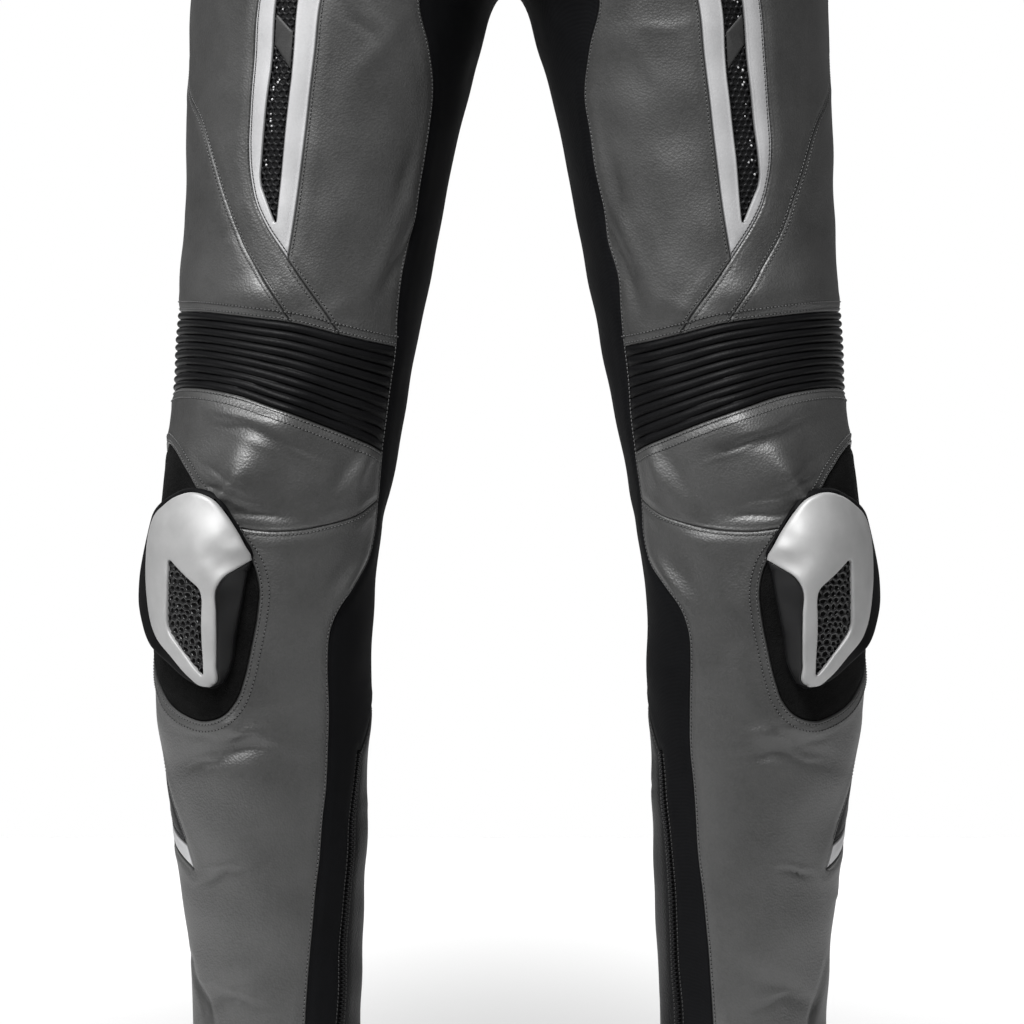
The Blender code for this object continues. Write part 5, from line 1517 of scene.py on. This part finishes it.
def build_patch(leg):
    patch = corner_loop(("patch_front", "patch_bottom", "patch_side", "patch_top"))
    cloth_panel(
        "slider_patch", [patch], leg, (PILE, BLACK_FLESH), 0.0034, PATCH_STAND,
    )


def build_shell(leg):
    rows = np.concatenate([SHELL_OUTLINE, SHELL_RIDGE, SHELL_LOWER, SHELL_CROWN, MESH_WINDOW])
    top = stiff_surface(rows, 4e-4)
    moulded_plate(
        "slider_shell", [SHELL_LOOP, NET_LOOP], top, lambda spots: top(spots) - SHELL_WALL,
        SHELL_EDGES, leg, SATIN_ALLOY,
    )


def build_base(leg):
    under_shell = lowered(SHELL_OUTLINE + SHELL_LOWER, SHELL_WALL + SLIDER_GAP)
    rows = np.concatenate([BASE_OUTER, under_shell, lowered(BASE_INNER, BASE_UNDER_SIDE)])
    top = stiff_surface(rows)

    def height(spots):
        drop = np.where(inside_loop(spots, SHELL_LOOP), BASE_UNDER_SHELL, 0.0)
        return np.maximum(top(spots) - drop, SLIDER_CLEARANCE + BASE_LEAST_WALL)

    moulded_plate(
        "slider_base", [BASE_LOOP], height, lambda spots: np.full(len(spots), SLIDER_CLEARANCE),
        BASE_EDGES, leg, BASE_PLASTIC,
    )


def build_side_face(leg):
    top = stiff_surface(np.concatenate([lowered(SHELL_RIDGE, SIDE_RECESS), BASE_INNER]))
    moulded_plate(
        "slider_side", [SIDE_LOOP], top, lambda spots: top(spots) - SIDE_WALL,
        SIDE_EDGES, leg, SIDE_PLASTIC, 0.0026,
    )


def build_netting(leg):
    """The netting's open cells, over a black back that closes the window."""
    level_of_window = stiff_surface(MESH_WINDOW)
    random = np.random.default_rng(31 + leg)
    cells = jittered_cells(NET_LOOP, CELL_PITCH, CELL_JITTER, random)

    def place_at(angle, z, level):
        face = level_of_window(np.stack([angle, z], axis=-1)) - MESH_RECESS
        return leg_point(angle, z, face + NET_THICKNESS * level)

    verts, quads = cell_plate(cells, inset_loop(NET_LOOP, -0.0034), CELL_SHARE, place_at)
    netting = mesh_object(f"slider_net_{SIDES[leg]}", verts, quads, leg, NETTING)
    fit(netting, f"slider_mesh_{SIDES[leg]}")
    moulded_plate(
        "slider_net_back", [NET_LOOP],
        lambda spots: level_of_window(spots) - MESH_RECESS - NET_BACK_DEPTH,
        lambda spots: level_of_window(spots) - SHELL_WALL,
        NET_BACK_EDGES, leg, PILE, 0.003,
    )


PILE = pile_material()
SATIN_ALLOY = satin_material()
BASE_PLASTIC = moulded_material(
    "base_plastic", (0.0020, 0.0020, 0.0023), (0.0045, 0.0045, 0.0050), 0.66, 0.1
)
SIDE_PLASTIC = moulded_material(
    "side_plastic", (0.0050, 0.0050, 0.0055), (0.0090, 0.0090, 0.0095), 0.42, 0.3
)
NETTING = moulded_material(
    "netting_plastic", (0.007, 0.007, 0.0073), (0.019, 0.019, 0.0195), 0.26, 0.4
)
for leg in (0, 1):
    build_patch(leg)
    build_shell(leg)
    build_base(leg)
    build_side_face(leg)
    build_netting(leg)

# ---------------------------------------------------------------- top-stitching
# Lock-stitched rows of bonded thread run along the seams, 2.7 mm to a stitch, each pulled down into
# the leather and close to it in colour. The hip, the ribs, the sliders' patches and the back of the
# gusset have two rows, and most other seams have one.
STITCH_PITCH = 0.0027
STITCH_LENGTH = 0.0020
STITCH_WIDTH = 0.00075
STITCH_SINK = 0.00004
STITCH_LIFT = 0.4 * STITCH_WIDTH
STITCH_SIDES = 6
# Rings of a stitch: place along it, share of its width, and rise, in shares of its size.
STITCH_RINGS = (
    (-0.5, 0.45, -0.9), (-0.3, 0.95, -0.1), (0.0, 1.0, 0.1), (0.3, 0.95, -0.1), (0.5, 0.45, -0.9),
)
HOLE_RADIUS = (0.00062, 0.00046)
HOLE_SIDES = 8
HOLE_RISE = 0.00008
HOLE_LIFT = 0.00012
ROW_TRIM = 0.0030
ROW_READING = 0.0015

# A seam's name, and how far to the left of it each of its rows runs.
GREY_ROWS = (
    ("hip", 0.0024, 0.0078), ("stripe_inner", -0.0022), ("stripe_outer", -0.0024),
    ("knee_diagonal_inner", 0.0024, -0.0022), ("knee_diagonal_outer", 0.0024, -0.0022),
    ("ribs_top", 0.0020, 0.0066), ("ribs_bottom", -0.0020, -0.0068), ("gusset_front", 0.0020),
    ("knee_seam", -0.0024), ("patch_lower", -0.0022, -0.0066), ("patch_upper", -0.0022, -0.0066),
    ("wedge_front", -0.0022), ("knee_side_upper", -0.0022), ("knee_side_lower", -0.0022),
    ("back_thigh_hem", 0.0024), ("gusset_back", -0.0022, -0.0066), ("calf_seam_lower", -0.0022),
    ("waist", -0.0024),
)
BLACK_ROWS = (
    ("silver_upper", 0.0020), ("silver_lower", -0.0020), ("back_knee_hem", -0.0024),
    ("calf_seam_upper", 0.0022), ("zip_back", -0.0024), ("zip_front", 0.0024),
)
HEM_ROW_HEIGHT = 0.013
HEM_ROW_STAND = BLACK_STAND + 0.0004
HEM_STRETCHES = (
    ("hem_front", "hem_outer"), ("hem_outer", "zip_hem_back"), ("zip_hem_front", "hem_front"),
)


def beside(curve, distance):
    """A curve that runs a distance along the cloth to the left of another."""
    fine = spaced(curve, ROW_READING)
    scale = np.stack([degree_length(fine[:, 1]), np.ones(len(fine))], axis=-1)
    return fine + to_the_left(np.gradient(fine * scale, axis=0)) * distance / scale


def stitch_shape():
    """One stitch along X: a short rod with tapered ends that dip down."""
    turn = np.arange(STITCH_SIDES) * math.tau / STITCH_SIDES
    verts = []
    for share, width, dip in STITCH_RINGS:
        for t in turn:
            verts.append((
                share * STITCH_LENGTH, 0.5 * STITCH_WIDTH * width * math.cos(t),
                0.5 * STITCH_WIDTH * (width * math.sin(t) + dip),
            ))
    rings = len(STITCH_RINGS)
    faces = [(a, d, c, b) for a, b, c, d in ring_faces(rings, STITCH_SIDES)]
    faces.append(tuple(range(STITCH_SIDES)))
    faces.append(tuple((rings - 1) * STITCH_SIDES + k for k in reversed(range(STITCH_SIDES))))
    return np.array(verts), faces


def hole_shape():
    """A needle hole's mark: a shallow dished oval, pulled open by the thread, that carries painted
    shade for the hole.
    """
    turn = np.arange(HOLE_SIDES) * math.tau / HOLE_SIDES
    rim = np.stack([HOLE_RADIUS[0] * np.cos(turn), HOLE_RADIUS[1] * np.sin(turn), 0.0 * turn], axis=-1)
    faces = [(k, (k + 1) % HOLE_SIDES, HOLE_SIDES) for k in range(HOLE_SIDES)]
    return np.concatenate([rim, [[0.0, 0.0, HOLE_RISE]]]), faces


def copies(shape, faces, spots, axes):
    """One shape set down at each spot, with its length, width and height along that spot's axes."""
    verts = spots[:, None]
    for k, axis in enumerate(axes):
        verts = verts + axis[:, None] * shape[None, :, k : k + 1]
    count = len(shape)
    all_faces = [tuple(n * count + v for v in face) for n in range(len(spots)) for face in faces]
    return verts.reshape(-1, 3), all_faces


def stitches_along(places, normals, shape_and_faces, shift=0.0):
    """One shape spaced along a line of places, each lying along it on the face."""
    travel = travel_along(places)
    middles = np.arange(ROW_TRIM + shift, travel[-1] - ROW_TRIM, STITCH_PITCH)
    ahead = read_along(places, travel, middles + STITCH_LENGTH / 2)
    behind = read_along(places, travel, middles - STITCH_LENGTH / 2)
    along = unit(ahead - behind)
    side = unit(np.cross(read_along(normals, travel, middles), along))
    spots = read_along(places, travel, middles)
    return copies(*shape_and_faces, spots, (along, side, np.cross(along, side)))


def row_on_leg(curve, distance, stand, leg):
    """A row of stitches and its needle holes, at a distance to the left of a curve."""
    line = beside(curve, distance)
    lift = float(edge_roll(np.array([abs(distance)]), stand)[0]) - STITCH_SINK
    places = leg_point(line[:, 0], line[:, 1], lift + STITCH_LIFT, leg)
    under = leg_point(line[:, 0], line[:, 1], lift + HOLE_LIFT, leg)
    normals = outward(line[:, 0], line[:, 1])
    return (
        stitches_along(places, normals, stitch_shape()),
        stitches_along(under, normals, hole_shape(), 0.5 * STITCH_PITCH),
    )


def rows_on_leg(table, stand, leg):
    return [
        row_on_leg(seam_curve(name), distance, stand, leg)
        for name, *distances in table for distance in distances
    ]


def hole_shade_material():
    """Painted shade for the needle holes: near-black, with a faint mottle."""
    material, tree, shader, place = new_material("needle_hole_shade", 0.9, Specular_IOR_Level=0.05)
    hole_shade_mottle = noise(tree, place, 1600.0, 2.0)
    plug(shader, Base_Color=ramp(tree, hole_shade_mottle, ((0.3, 0.004), (0.7, 0.012))))
    return material


def thread_material(name, dark, light):
    """Twisted bonded thread with a slight wax sheen."""
    material, tree, shader, place = new_material(name, 0.45)
    twist = noise(tree, place, 2400.0, 1.0)
    colour = ramp(tree, twist, ((0.3, dark), (0.7, light)))
    plug(shader, Base_Color=colour, Normal=bump(tree, twist, 0.5, 0.0001))
    return material


GREY_THREAD = thread_material("grey_thread", 0.060, 0.095)
BLACK_THREAD = thread_material("black_thread", 0.010, 0.020)
# The needle holes' near-black is painted shade, laid on the leather where the holes would fall into
# shadow.
HOLE_SHADE = hole_shade_material()
for leg in (0, 1):
    grey = rows_on_leg(GREY_ROWS, GREY_STAND, leg)
    black = rows_on_leg(BLACK_ROWS, BLACK_STAND, leg)
    for corners in HEM_STRETCHES:
        black.append(row_on_leg(EDGES[corners], HEM_ROW_HEIGHT, HEM_ROW_STAND, leg))
    for name, material, lots in (
        ("grey_stitches", GREY_THREAD, [row[0] for row in grey]),
        ("black_stitches", BLACK_THREAD, [row[0] for row in black]),
        ("needle_hole_shade", HOLE_SHADE, [row[1] for row in grey + black]),
    ):
        verts, faces = gathered(lots)
        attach(mesh_object(f"{name}_{SIDES[leg]}", verts, faces, leg, material), "trousers")

# ---------------------------------------------------------------- zips
# Moulded-tooth zips: one up the inner side of each calf from the hem, shut, and one in the fly. The
# woven tape is sewn in behind the leather edges; a cast slider with a pull tab runs on the teeth.
TAPE_WALL = 0.0012
CALF_TAPE_DEPTH = 0.0010
FLY_TAPE_DEPTH = 0.0008
TOOTH_PITCH = 0.0014
TOOTH_SIZE = (0.0022, 0.0008, 0.0014)
TOOTH_ASIDE = 0.0006
# The section of a tooth, as shares of its half width and height.
TOOTH_SECTION = ((-1.0, 0.0), (-1.0, 0.6), (-0.7, 1.0), (0.7, 1.0), (1.0, 0.6), (1.0, 0.0))
TOOTH_SHARP = 30.0
EDGE_ROUND = 0.00030
CALF_SLIDER_Z = -1.030
CALF_TEETH_BELOW_SLIDER = 0.016
FLY_TAPE_INSET = 0.0002
FLY_TAPE_ROWS = 60
FLY_TAPE_COLUMNS = 7


def tape_material():
    """Herringbone zip tape in black polyester."""
    material, tree, shader, place = new_material("zip_tape_weave", 0.85, Specular_IOR_Level=0.1)
    cords = bands(tree, place, "Z", 330.0, 0.4)
    fuzz = noise(tree, place, 900.0, 3.0, 0.6)
    shade = weighed(tree, cords, 0.6, fuzz, 0.4)
    colour = ramp(tree, shade, ((0.25, 0.0020), (0.75, 0.0060)))
    plug(shader, Base_Color=colour, Normal=bump(tree, shade, 0.5, 0.0002))
    return material


def dark_metal_material(name, dark, light, roughness):
    """Cast zinc with a gunmetal finish, rubbed brighter in places."""
    material, tree, shader, place = new_material(name, roughness, 0.9)
    wear = noise(tree, place, 260.0, 4.0, 0.65)
    colour = ramp(tree, wear, ((0.35, dark), (0.70, light)))
    rough = math_node(tree, "ADD", math_node(tree, "MULTIPLY", wear, 0.25), roughness - 0.12)
    plug(shader, Base_Color=colour, Roughness=rough, Normal=bump(tree, wear, 0.15, 0.00008))
    return material


def tooth_rows(places, acrosses, normals):
    """Teeth from both sides in turn along a line, each a small block with its corners cut."""
    travel = travel_along(places)
    middles = np.arange(TOOTH_PITCH, travel[-1] - TOOTH_PITCH, TOOTH_PITCH)
    spots, across, up = (read_along(values, travel, middles) for values in (places, acrosses, normals))
    shape = [(u, v, w) for u, w in TOOTH_SECTION for v in (-1.0, 1.0)]
    shape = np.array(shape) * (np.array(TOOTH_SIZE) / 2) * [1.0, 1.0, 2.0]
    corners = len(TOOTH_SECTION)
    faces = [(2 * k, 2 * k + 1, 2 * k + 3, 2 * k + 2) for k in range(corners - 1)]
    faces.append(tuple(2 * k + 1 for k in reversed(range(corners))))
    faces.append(tuple(2 * k for k in range(corners)))
    aside = np.where(np.arange(len(middles)) % 2, TOOTH_ASIDE, -TOOTH_ASIDE)[:, None]
    return copies(shape, faces, spots + across * aside, (across, np.cross(across, up), up))


def select_only(piece):
    bpy.ops.object.select_all(action="DESELECT")
    piece.select_set(True)
    bpy.context.view_layer.objects.active = piece


def round_edges(piece, width, segments, angle):
    """A bevel along the sharp edges of the piece that is selected."""
    edge = piece.modifiers.new("edge", "BEVEL")
    edge.width = width
    edge.segments = segments
    edge.limit_method = "ANGLE"
    edge.angle_limit = math.radians(angle)
    bpy.ops.object.modifier_apply(modifier="edge")


def rounded_copy(node, name, body, material):
    """The CAD node's own form with its doubles merged and its edges rounded."""
    mesh = bpy.data.objects[node].data.copy()
    piece = in_scene(name, mesh)
    select_only(piece)
    bpy.ops.object.mode_set(mode="EDIT")
    bpy.ops.mesh.select_all(action="SELECT")
    bpy.ops.mesh.remove_doubles(threshold=0.00002)
    bpy.ops.mesh.dissolve_limited(angle_limit=math.radians(3.0))
    bpy.ops.object.mode_set(mode="OBJECT")
    mesh.materials.clear()
    mesh.materials.append(material)
    round_edges(piece, EDGE_ROUND, 2, 35.0)
    bpy.ops.object.shade_smooth_by_angle(angle=math.radians(40.0))
    fit(piece, node, body)


def calf_zip(leg):
    near = EDGES["zip_top_back", "zip_hem_back"]
    far = EDGES["zip_top_front", "zip_hem_front"]
    far = read_along(far, np.linspace(0.0, 1.0, len(far)), np.linspace(0.0, 1.0, len(near)))
    tape = cloth_panel(
        "calf_zip", [np.concatenate([near, far[::-1]])], leg, (TAPE, TAPE), 0.0030,
        -CALF_TAPE_DEPTH, TAPE_WALL,
    )
    angle, z = ((near + far) / 2).T
    places = leg_point(angle, z, -CALF_TAPE_DEPTH, leg)
    near_side, far_side = (leg_point(rim[:, 0], rim[:, 1], 0.0, leg) for rim in (near, far))
    keep = z > CALF_SLIDER_Z - CALF_TEETH_BELOW_SLIDER
    across = unit(far_side - near_side)
    verts, faces = tooth_rows(places[keep], across[keep], outward(angle, z)[keep])
    side = SIDES[leg]
    teeth = mesh_object(f"calf_zip_teeth_{side}", verts, faces, leg, TEETH, TOOTH_SHARP)
    teeth.parent = tape
    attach(teeth, "trousers")
    tab = ("calf_pull_tab_left", "calf_pull_tab_right")[leg]
    for part, body in (("slider", "trousers"), ("pull", tab)):
        rounded_copy(f"zip_{part}_{side}", f"calf_zip_{part}_{side}", body, GUNMETAL)


def fly_zip():
    z = np.linspace(WAIST_SEAM_Z - FLY_TAPE_INSET, FLY_BOTTOM_Z + FLY_TAPE_INSET, FLY_TAPE_ROWS)
    half = FLY_HALF_WIDTH - FLY_TAPE_INSET
    front, back = [], []
    edge = base_point(front_angle(FLY_HALF_WIDTH, z), z)[:, 1]
    for x in np.linspace(-half, half, FLY_TAPE_COLUMNS):
        front.append(np.stack([np.full_like(z, x), edge + FLY_TAPE_DEPTH, z], axis=-1))
        back.append(np.stack([np.full_like(z, x), edge + FLY_TAPE_DEPTH + TAPE_WALL, z], axis=-1))
    faces = grid_faces(FLY_TAPE_COLUMNS, FLY_TAPE_ROWS)
    tape = wall_object(
        "fly_tape", np.concatenate(front), np.concatenate(back), faces, 0, (TAPE, TAPE)
    )
    fit(tape, "fly_zip")
    middle = front[FLY_TAPE_COLUMNS // 2]
    length = length_of(middle)
    normals = np.tile([0.0, -1.0, 0.0], (FLY_TAPE_ROWS, 1))
    acrosses = np.tile([1.0, 0.0, 0.0], (FLY_TAPE_ROWS, 1))
    verts, faces = tooth_rows(middle, acrosses, normals)
    teeth = mesh_object("fly_zip_teeth", verts, faces, 0, TEETH, TOOTH_SHARP)
    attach(teeth, "trousers")
    teeth.parent = tape
    rounded_copy("fly_slider", "fly_zip_slider", "trousers", GUNMETAL)
    rounded_copy("fly_pull", "fly_zip_pull", "fly_pull_tab", GUNMETAL)


TAPE = tape_material()
TEETH = moulded_material("zip_teeth", (0.004, 0.004, 0.0045), (0.009, 0.009, 0.010), 0.40, 0.3)
GUNMETAL = dark_metal_material("gunmetal", 0.110, 0.210, 0.34)
for leg in (0, 1):
    calf_zip(leg)
fly_zip()

# ---------------------------------------------------------------- waistband and snap
# A folded band of grey leather 45 mm deep is sewn round the waist. Its end on the wearer's right
# laps over the start and is shut by a domed metal snap that is pressed through both layers.
BAND_WALL = 0.003
BAND_STANDOFF = 0.0006
LAP_GAP = 0.0006
OVERLAP_ANGLE = 9.0
BAND_TURNS = 420
BAND_ROWS = 19
BAND_SWAY = 0.0004
BAND_SWAY_SHARE = 0.6
BAND_END_ROW_TRIM = 0.001
BAND_END_ROW_READINGS = 30
# The band's rim, as for the panels: how far out, how far from the edge, and over what half width.
BAND_ROLL = (-0.0009, 0.0, 0.0012)
BAND_GROOVE = (-0.0003, 0.003, 0.0014)
BAND_STITCH_INSET = 0.0030
BAND_STITCH_LIFT = 0.5 * STITCH_WIDTH - 0.0003
BAND_END_ROW_TURN = 360.0 + OVERLAP_ANGLE - 1.2
SNAP_RADIUS = 0.0080
SNAP_THICKNESS = 0.0030
SNAP_SIDES = 64
SNAP_EDGE_ROUND = 0.0004
SNAP_LIFT = 0.0004
# The cap's face from its rim to its middle: how far in each step goes, and how far it then rises.
SNAP_STEPS = (
    (0.0012, 0.0), (0.0005, -0.0003), (0.0004, 0.0003), (0.0008, 0.0007), (0.0014, 0.0006),
    (0.0018, 0.0003), (0.0010, 0.0),
)


def waist_place(turn, z, out):
    """A place on the waistband, by its turn round the waist from the front centre."""
    across = np.mod(turn, 360.0)
    left = across <= 180.0
    share = np.where(left, across, 360.0 - across) / 180.0
    start = front_angle(0.0, z)
    angle = start + (360.0 - 2 * start) * share
    spot = base_point(angle, z) + outward(angle, z) * out[..., None]
    spot[..., 0] = np.where(left, spot[..., 0], -spot[..., 0])
    return spot


def waist_outward(turn, z):
    """Unit normal of the waist's form."""
    level = np.zeros_like(turn)
    around = waist_place(turn + ASIDE, z, level) - waist_place(turn - ASIDE, z, level)
    rise = waist_place(turn, z + ABOVE, level) - waist_place(turn, z - ABOVE, level)
    return unit(np.cross(around, rise))


def band_lift(turns):
    """How far the band's face stands off the form: it climbs over its own start at the lap."""
    rise = np.clip((turns - 360.0 + 2 * OVERLAP_ANGLE) / (0.9 * OVERLAP_ANGLE), 0.0, 1.0)
    return BAND_STANDOFF + (BAND_WALL + LAP_GAP) * rise * rise * (3 - 2 * rise)


def build_waistband():
    turns = np.linspace(-OVERLAP_ANGLE, 360.0 + OVERLAP_ANGLE, BAND_TURNS)
    heights = np.linspace(WAIST_SEAM_Z + 0.0001, 0.0, BAND_ROWS)
    edge = np.minimum(heights - heights[0], heights[-1] - heights)
    roll = swelling(edge, *BAND_ROLL) + swelling(edge, *BAND_GROOVE)
    lift = band_lift(turns)
    random = np.random.default_rng(3)
    sway = sum(
        BAND_SWAY * np.sin(k * np.radians(turns) + random.uniform(0.0, 6.0)) for k in (5, 11, 17, 26)
    )
    outer, inner = [], []
    for row, z in enumerate(heights):
        level = np.full_like(turns, z)
        wave = sway * math.sin(math.pi * (row + 2) / (BAND_ROWS + 3)) * BAND_SWAY_SHARE
        outer.append(waist_place(turns, level, lift + roll[row] + wave))
        inner.append(waist_place(turns, level, lift - BAND_WALL))
    band = wall_object(
        "waistband_leather", np.concatenate(outer), np.concatenate(inner),
        grid_faces(BAND_ROWS, BAND_TURNS), 0, (GREY_LEATHER, GREY_FLESH),
        np.repeat(edge, BAND_TURNS),
    )
    fit(band, "waistband")
    length_of(outer[BAND_ROWS // 2])
    return band, heights


def stitch_waistband(band, heights):
    """A row along each edge of the band, and one down the end that laps over."""
    turns = np.linspace(-OVERLAP_ANGLE, 360.0 + OVERLAP_ANGLE, BAND_TURNS)
    rise = np.linspace(
        heights[0] + BAND_END_ROW_TRIM, heights[-1] - BAND_END_ROW_TRIM, BAND_END_ROW_READINGS
    )
    lines = [
        (turns, np.full_like(turns, heights[0] + BAND_STITCH_INSET)),
        (turns, np.full_like(turns, heights[-1] - BAND_STITCH_INSET)),
        (np.full_like(rise, BAND_END_ROW_TURN), rise),
    ]
    parts = []
    for turn, z in lines:
        places = waist_place(turn, z, band_lift(turn) + BAND_STITCH_LIFT)
        parts.append(stitches_along(places, waist_outward(turn, z), stitch_shape()))
    verts, faces = gathered(parts)
    rows = mesh_object("waistband_stitches", verts, faces, 0, GREY_THREAD)
    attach(rows, "trousers")
    rows.parent = band


def build_snap():
    """A domed cap with a rolled rim, modelled flat and then set on the band."""
    height = np.array([WAIST_SEAM_Z / 2])
    face = waist_place(np.array([360.0]), height, np.array([BAND_STANDOFF + BAND_WALL + LAP_GAP]))[0]
    normal = waist_outward(np.array([360.0]), height)[0]
    bpy.ops.object.select_all(action="DESELECT")
    bpy.ops.mesh.primitive_cylinder_add(
        vertices=SNAP_SIDES, radius=SNAP_RADIUS, depth=SNAP_THICKNESS / 2
    )
    snap = bpy.context.active_object
    snap.name = "snap_cap"
    bpy.ops.object.mode_set(mode="EDIT")
    bpy.ops.mesh.select_mode(type="FACE")
    bpy.ops.mesh.select_all(action="DESELECT")
    bpy.ops.object.mode_set(mode="OBJECT")
    for polygon in snap.data.polygons:
        polygon.select = polygon.normal.z > 0.9
    bpy.ops.object.mode_set(mode="EDIT")
    for inset, lift in SNAP_STEPS:
        bpy.ops.mesh.inset(thickness=inset)
        bpy.ops.transform.translate(value=(0.0, 0.0, lift))
    bpy.ops.object.mode_set(mode="OBJECT")
    round_edges(snap, SNAP_EDGE_ROUND, 3, 50.0)
    turn = Vector((0.0, 0.0, 1.0)).rotation_difference(Vector(normal)).to_matrix().to_4x4()
    middle = Vector(face) + Vector(normal) * (SNAP_THICKNESS / 4 + SNAP_LIFT)
    snap.data.transform(Matrix.Translation(middle) @ turn)
    bpy.ops.object.shade_smooth_by_angle(angle=math.radians(40.0))
    snap.data.materials.append(SNAP_METAL)
    fit(snap, "snap")


SNAP_METAL = dark_metal_material("snap_gunmetal", 0.160, 0.280, 0.30)
stitch_waistband(*build_waistband())
build_snap()

# ---------------------------------------------------------------- floor, light and camera
# The trousers stand on white paper, with a soft shadow painted into its colour behind the legs, before
# a white surround that the camera sees, but that gives little light. A soft light hangs high in front,
# a weaker one lower down and one on each side, and another brightens the paper further back. The camera
# looks level from ten metres away.
FLOOR_Z = HEM_Z - 0.002
FLOOR_X = 2.2
FLOOR_Y = (-0.4, 9.4)
CAMERA_DISTANCE = 10.0
CAMERA_X = 0.0017
CAMERA_Z = -0.6313
CAMERA_LENS = 527.3
# The shadow painted into the paper's colour behind the legs: its half width, middle and half length.
SHADE_WIDTH = 0.26
SHADE_MIDDLE = 1.0
SHADE_REACH = 5.0
SURROUND_LIGHT = 0.14


def build_floor():
    """A sheet of white paper that runs from just before the hems to far behind them, with a soft shadow
    painted into its colour behind the legs.
    """
    near, far = FLOOR_Y
    corners = [(-FLOOR_X, near), (FLOOR_X, near), (FLOOR_X, far), (-FLOOR_X, far)]
    mesh = bpy.data.meshes.new("paper_floor")
    mesh.from_pydata([(x, y, FLOOR_Z) for x, y in corners], [], [(0, 1, 2, 3)])
    floor = in_scene("paper_floor", mesh)
    material, tree, shader, place = new_material("white_paper", 0.9)
    fibre = noise(tree, place, 400.0, 3.0)
    spread = add_node(tree, "ShaderNodeMapping", Vector=place)
    spread.inputs["Scale"].default_value = (1.0 / SHADE_WIDTH, 1.0 / SHADE_REACH, 0.0)
    spread.inputs["Location"].default_value = (0.0, -SHADE_MIDDLE / SHADE_REACH, 0.0)
    apart = add_node(
        tree, "ShaderNodeVectorMath", {"operation": "DOT_PRODUCT"},
        _0=spread.outputs["Vector"], _1=spread.outputs["Vector"],
    ).outputs["Value"]
    # Painted shadow: the paper's colour falls from 0.94 to 0.62 towards the middle of the patch behind
    # the legs.
    painted_shadow = math_node(tree, "EXPONENT", math_node(tree, "MULTIPLY", apart, -1.0))
    paper = ramp(tree, painted_shadow, ((0.0, 0.94), (1.0, 0.62)))
    plug(shader, Base_Color=tinted(tree, paper, ramp(tree, fibre, ((0.3, 0.96), (0.7, 1.0)))))
    floor.data.materials.append(material)


def white_surround():
    """A world that is full white to the camera and dim to everything else."""
    world = bpy.data.worlds.new("studio")
    world.use_nodes = True
    tree = world.node_tree
    dim = tree.nodes["Background"]
    dim.inputs["Color"].default_value = (1.0, 1.0, 1.0, 1.0)
    dim.inputs["Strength"].default_value = SURROUND_LIGHT
    seen = add_node(tree, "ShaderNodeBackground", Color=(1.0, 1.0, 1.0, 1.0), Strength=1.0)
    from_camera = tree.nodes.new("ShaderNodeLightPath").outputs["Is Camera Ray"]
    both = tree.nodes.new("ShaderNodeMixShader")
    tree.links.new(from_camera, both.inputs[0])
    tree.links.new(dim.outputs[0], both.inputs[1])
    tree.links.new(seen.outputs[0], both.inputs[2])
    tree.links.new(both.outputs[0], tree.nodes["World Output"].inputs["Surface"])
    bpy.context.scene.world = world


def area_light(name, place, aim, size, power):
    light = bpy.data.lights.new(name, "AREA")
    light.shape = "RECTANGLE"
    light.size, light.size_y = size
    light.energy = power
    lamp = in_scene(name, light)
    lamp.location = place
    lamp.rotation_euler = (Vector(aim) - Vector(place)).to_track_quat("-Z", "Y").to_euler()


build_floor()
white_surround()
area_light("front_softbox", (-0.2, -2.3, 1.1), (0.0, 0.0, -0.3), (1.4, 1.4), 14.0)
area_light("top_softbox", (-0.6, -2.1, 1.8), (0.0, 0.0, -0.3), (1.2, 0.6), 118.0)
area_light("left_softbox", (-2.2, -1.9, 1.3), (0.0, 0.0, -0.3), (0.8, 1.6), 47.0)
area_light("right_softbox", (3.0, -2.4, 0.3), (0.0, 0.0, -0.6), (0.8, 2.0), 5.0)
area_light("back_wash", (0.0, 6.7, 2.6), (0.0, 6.7, -1.0), (6.0, 9.0), 370.0)

bpy.context.scene.view_settings.view_transform = "Standard"

camera = in_scene("camera", bpy.data.cameras.new("camera"))
camera.data.lens = CAMERA_LENS
camera.data.clip_end = 60.0
camera.location = (CAMERA_X, -CAMERA_DISTANCE, CAMERA_Z)
camera.rotation_euler = (math.pi / 2, 0.0, 0.0)
bpy.context.scene.camera = camera
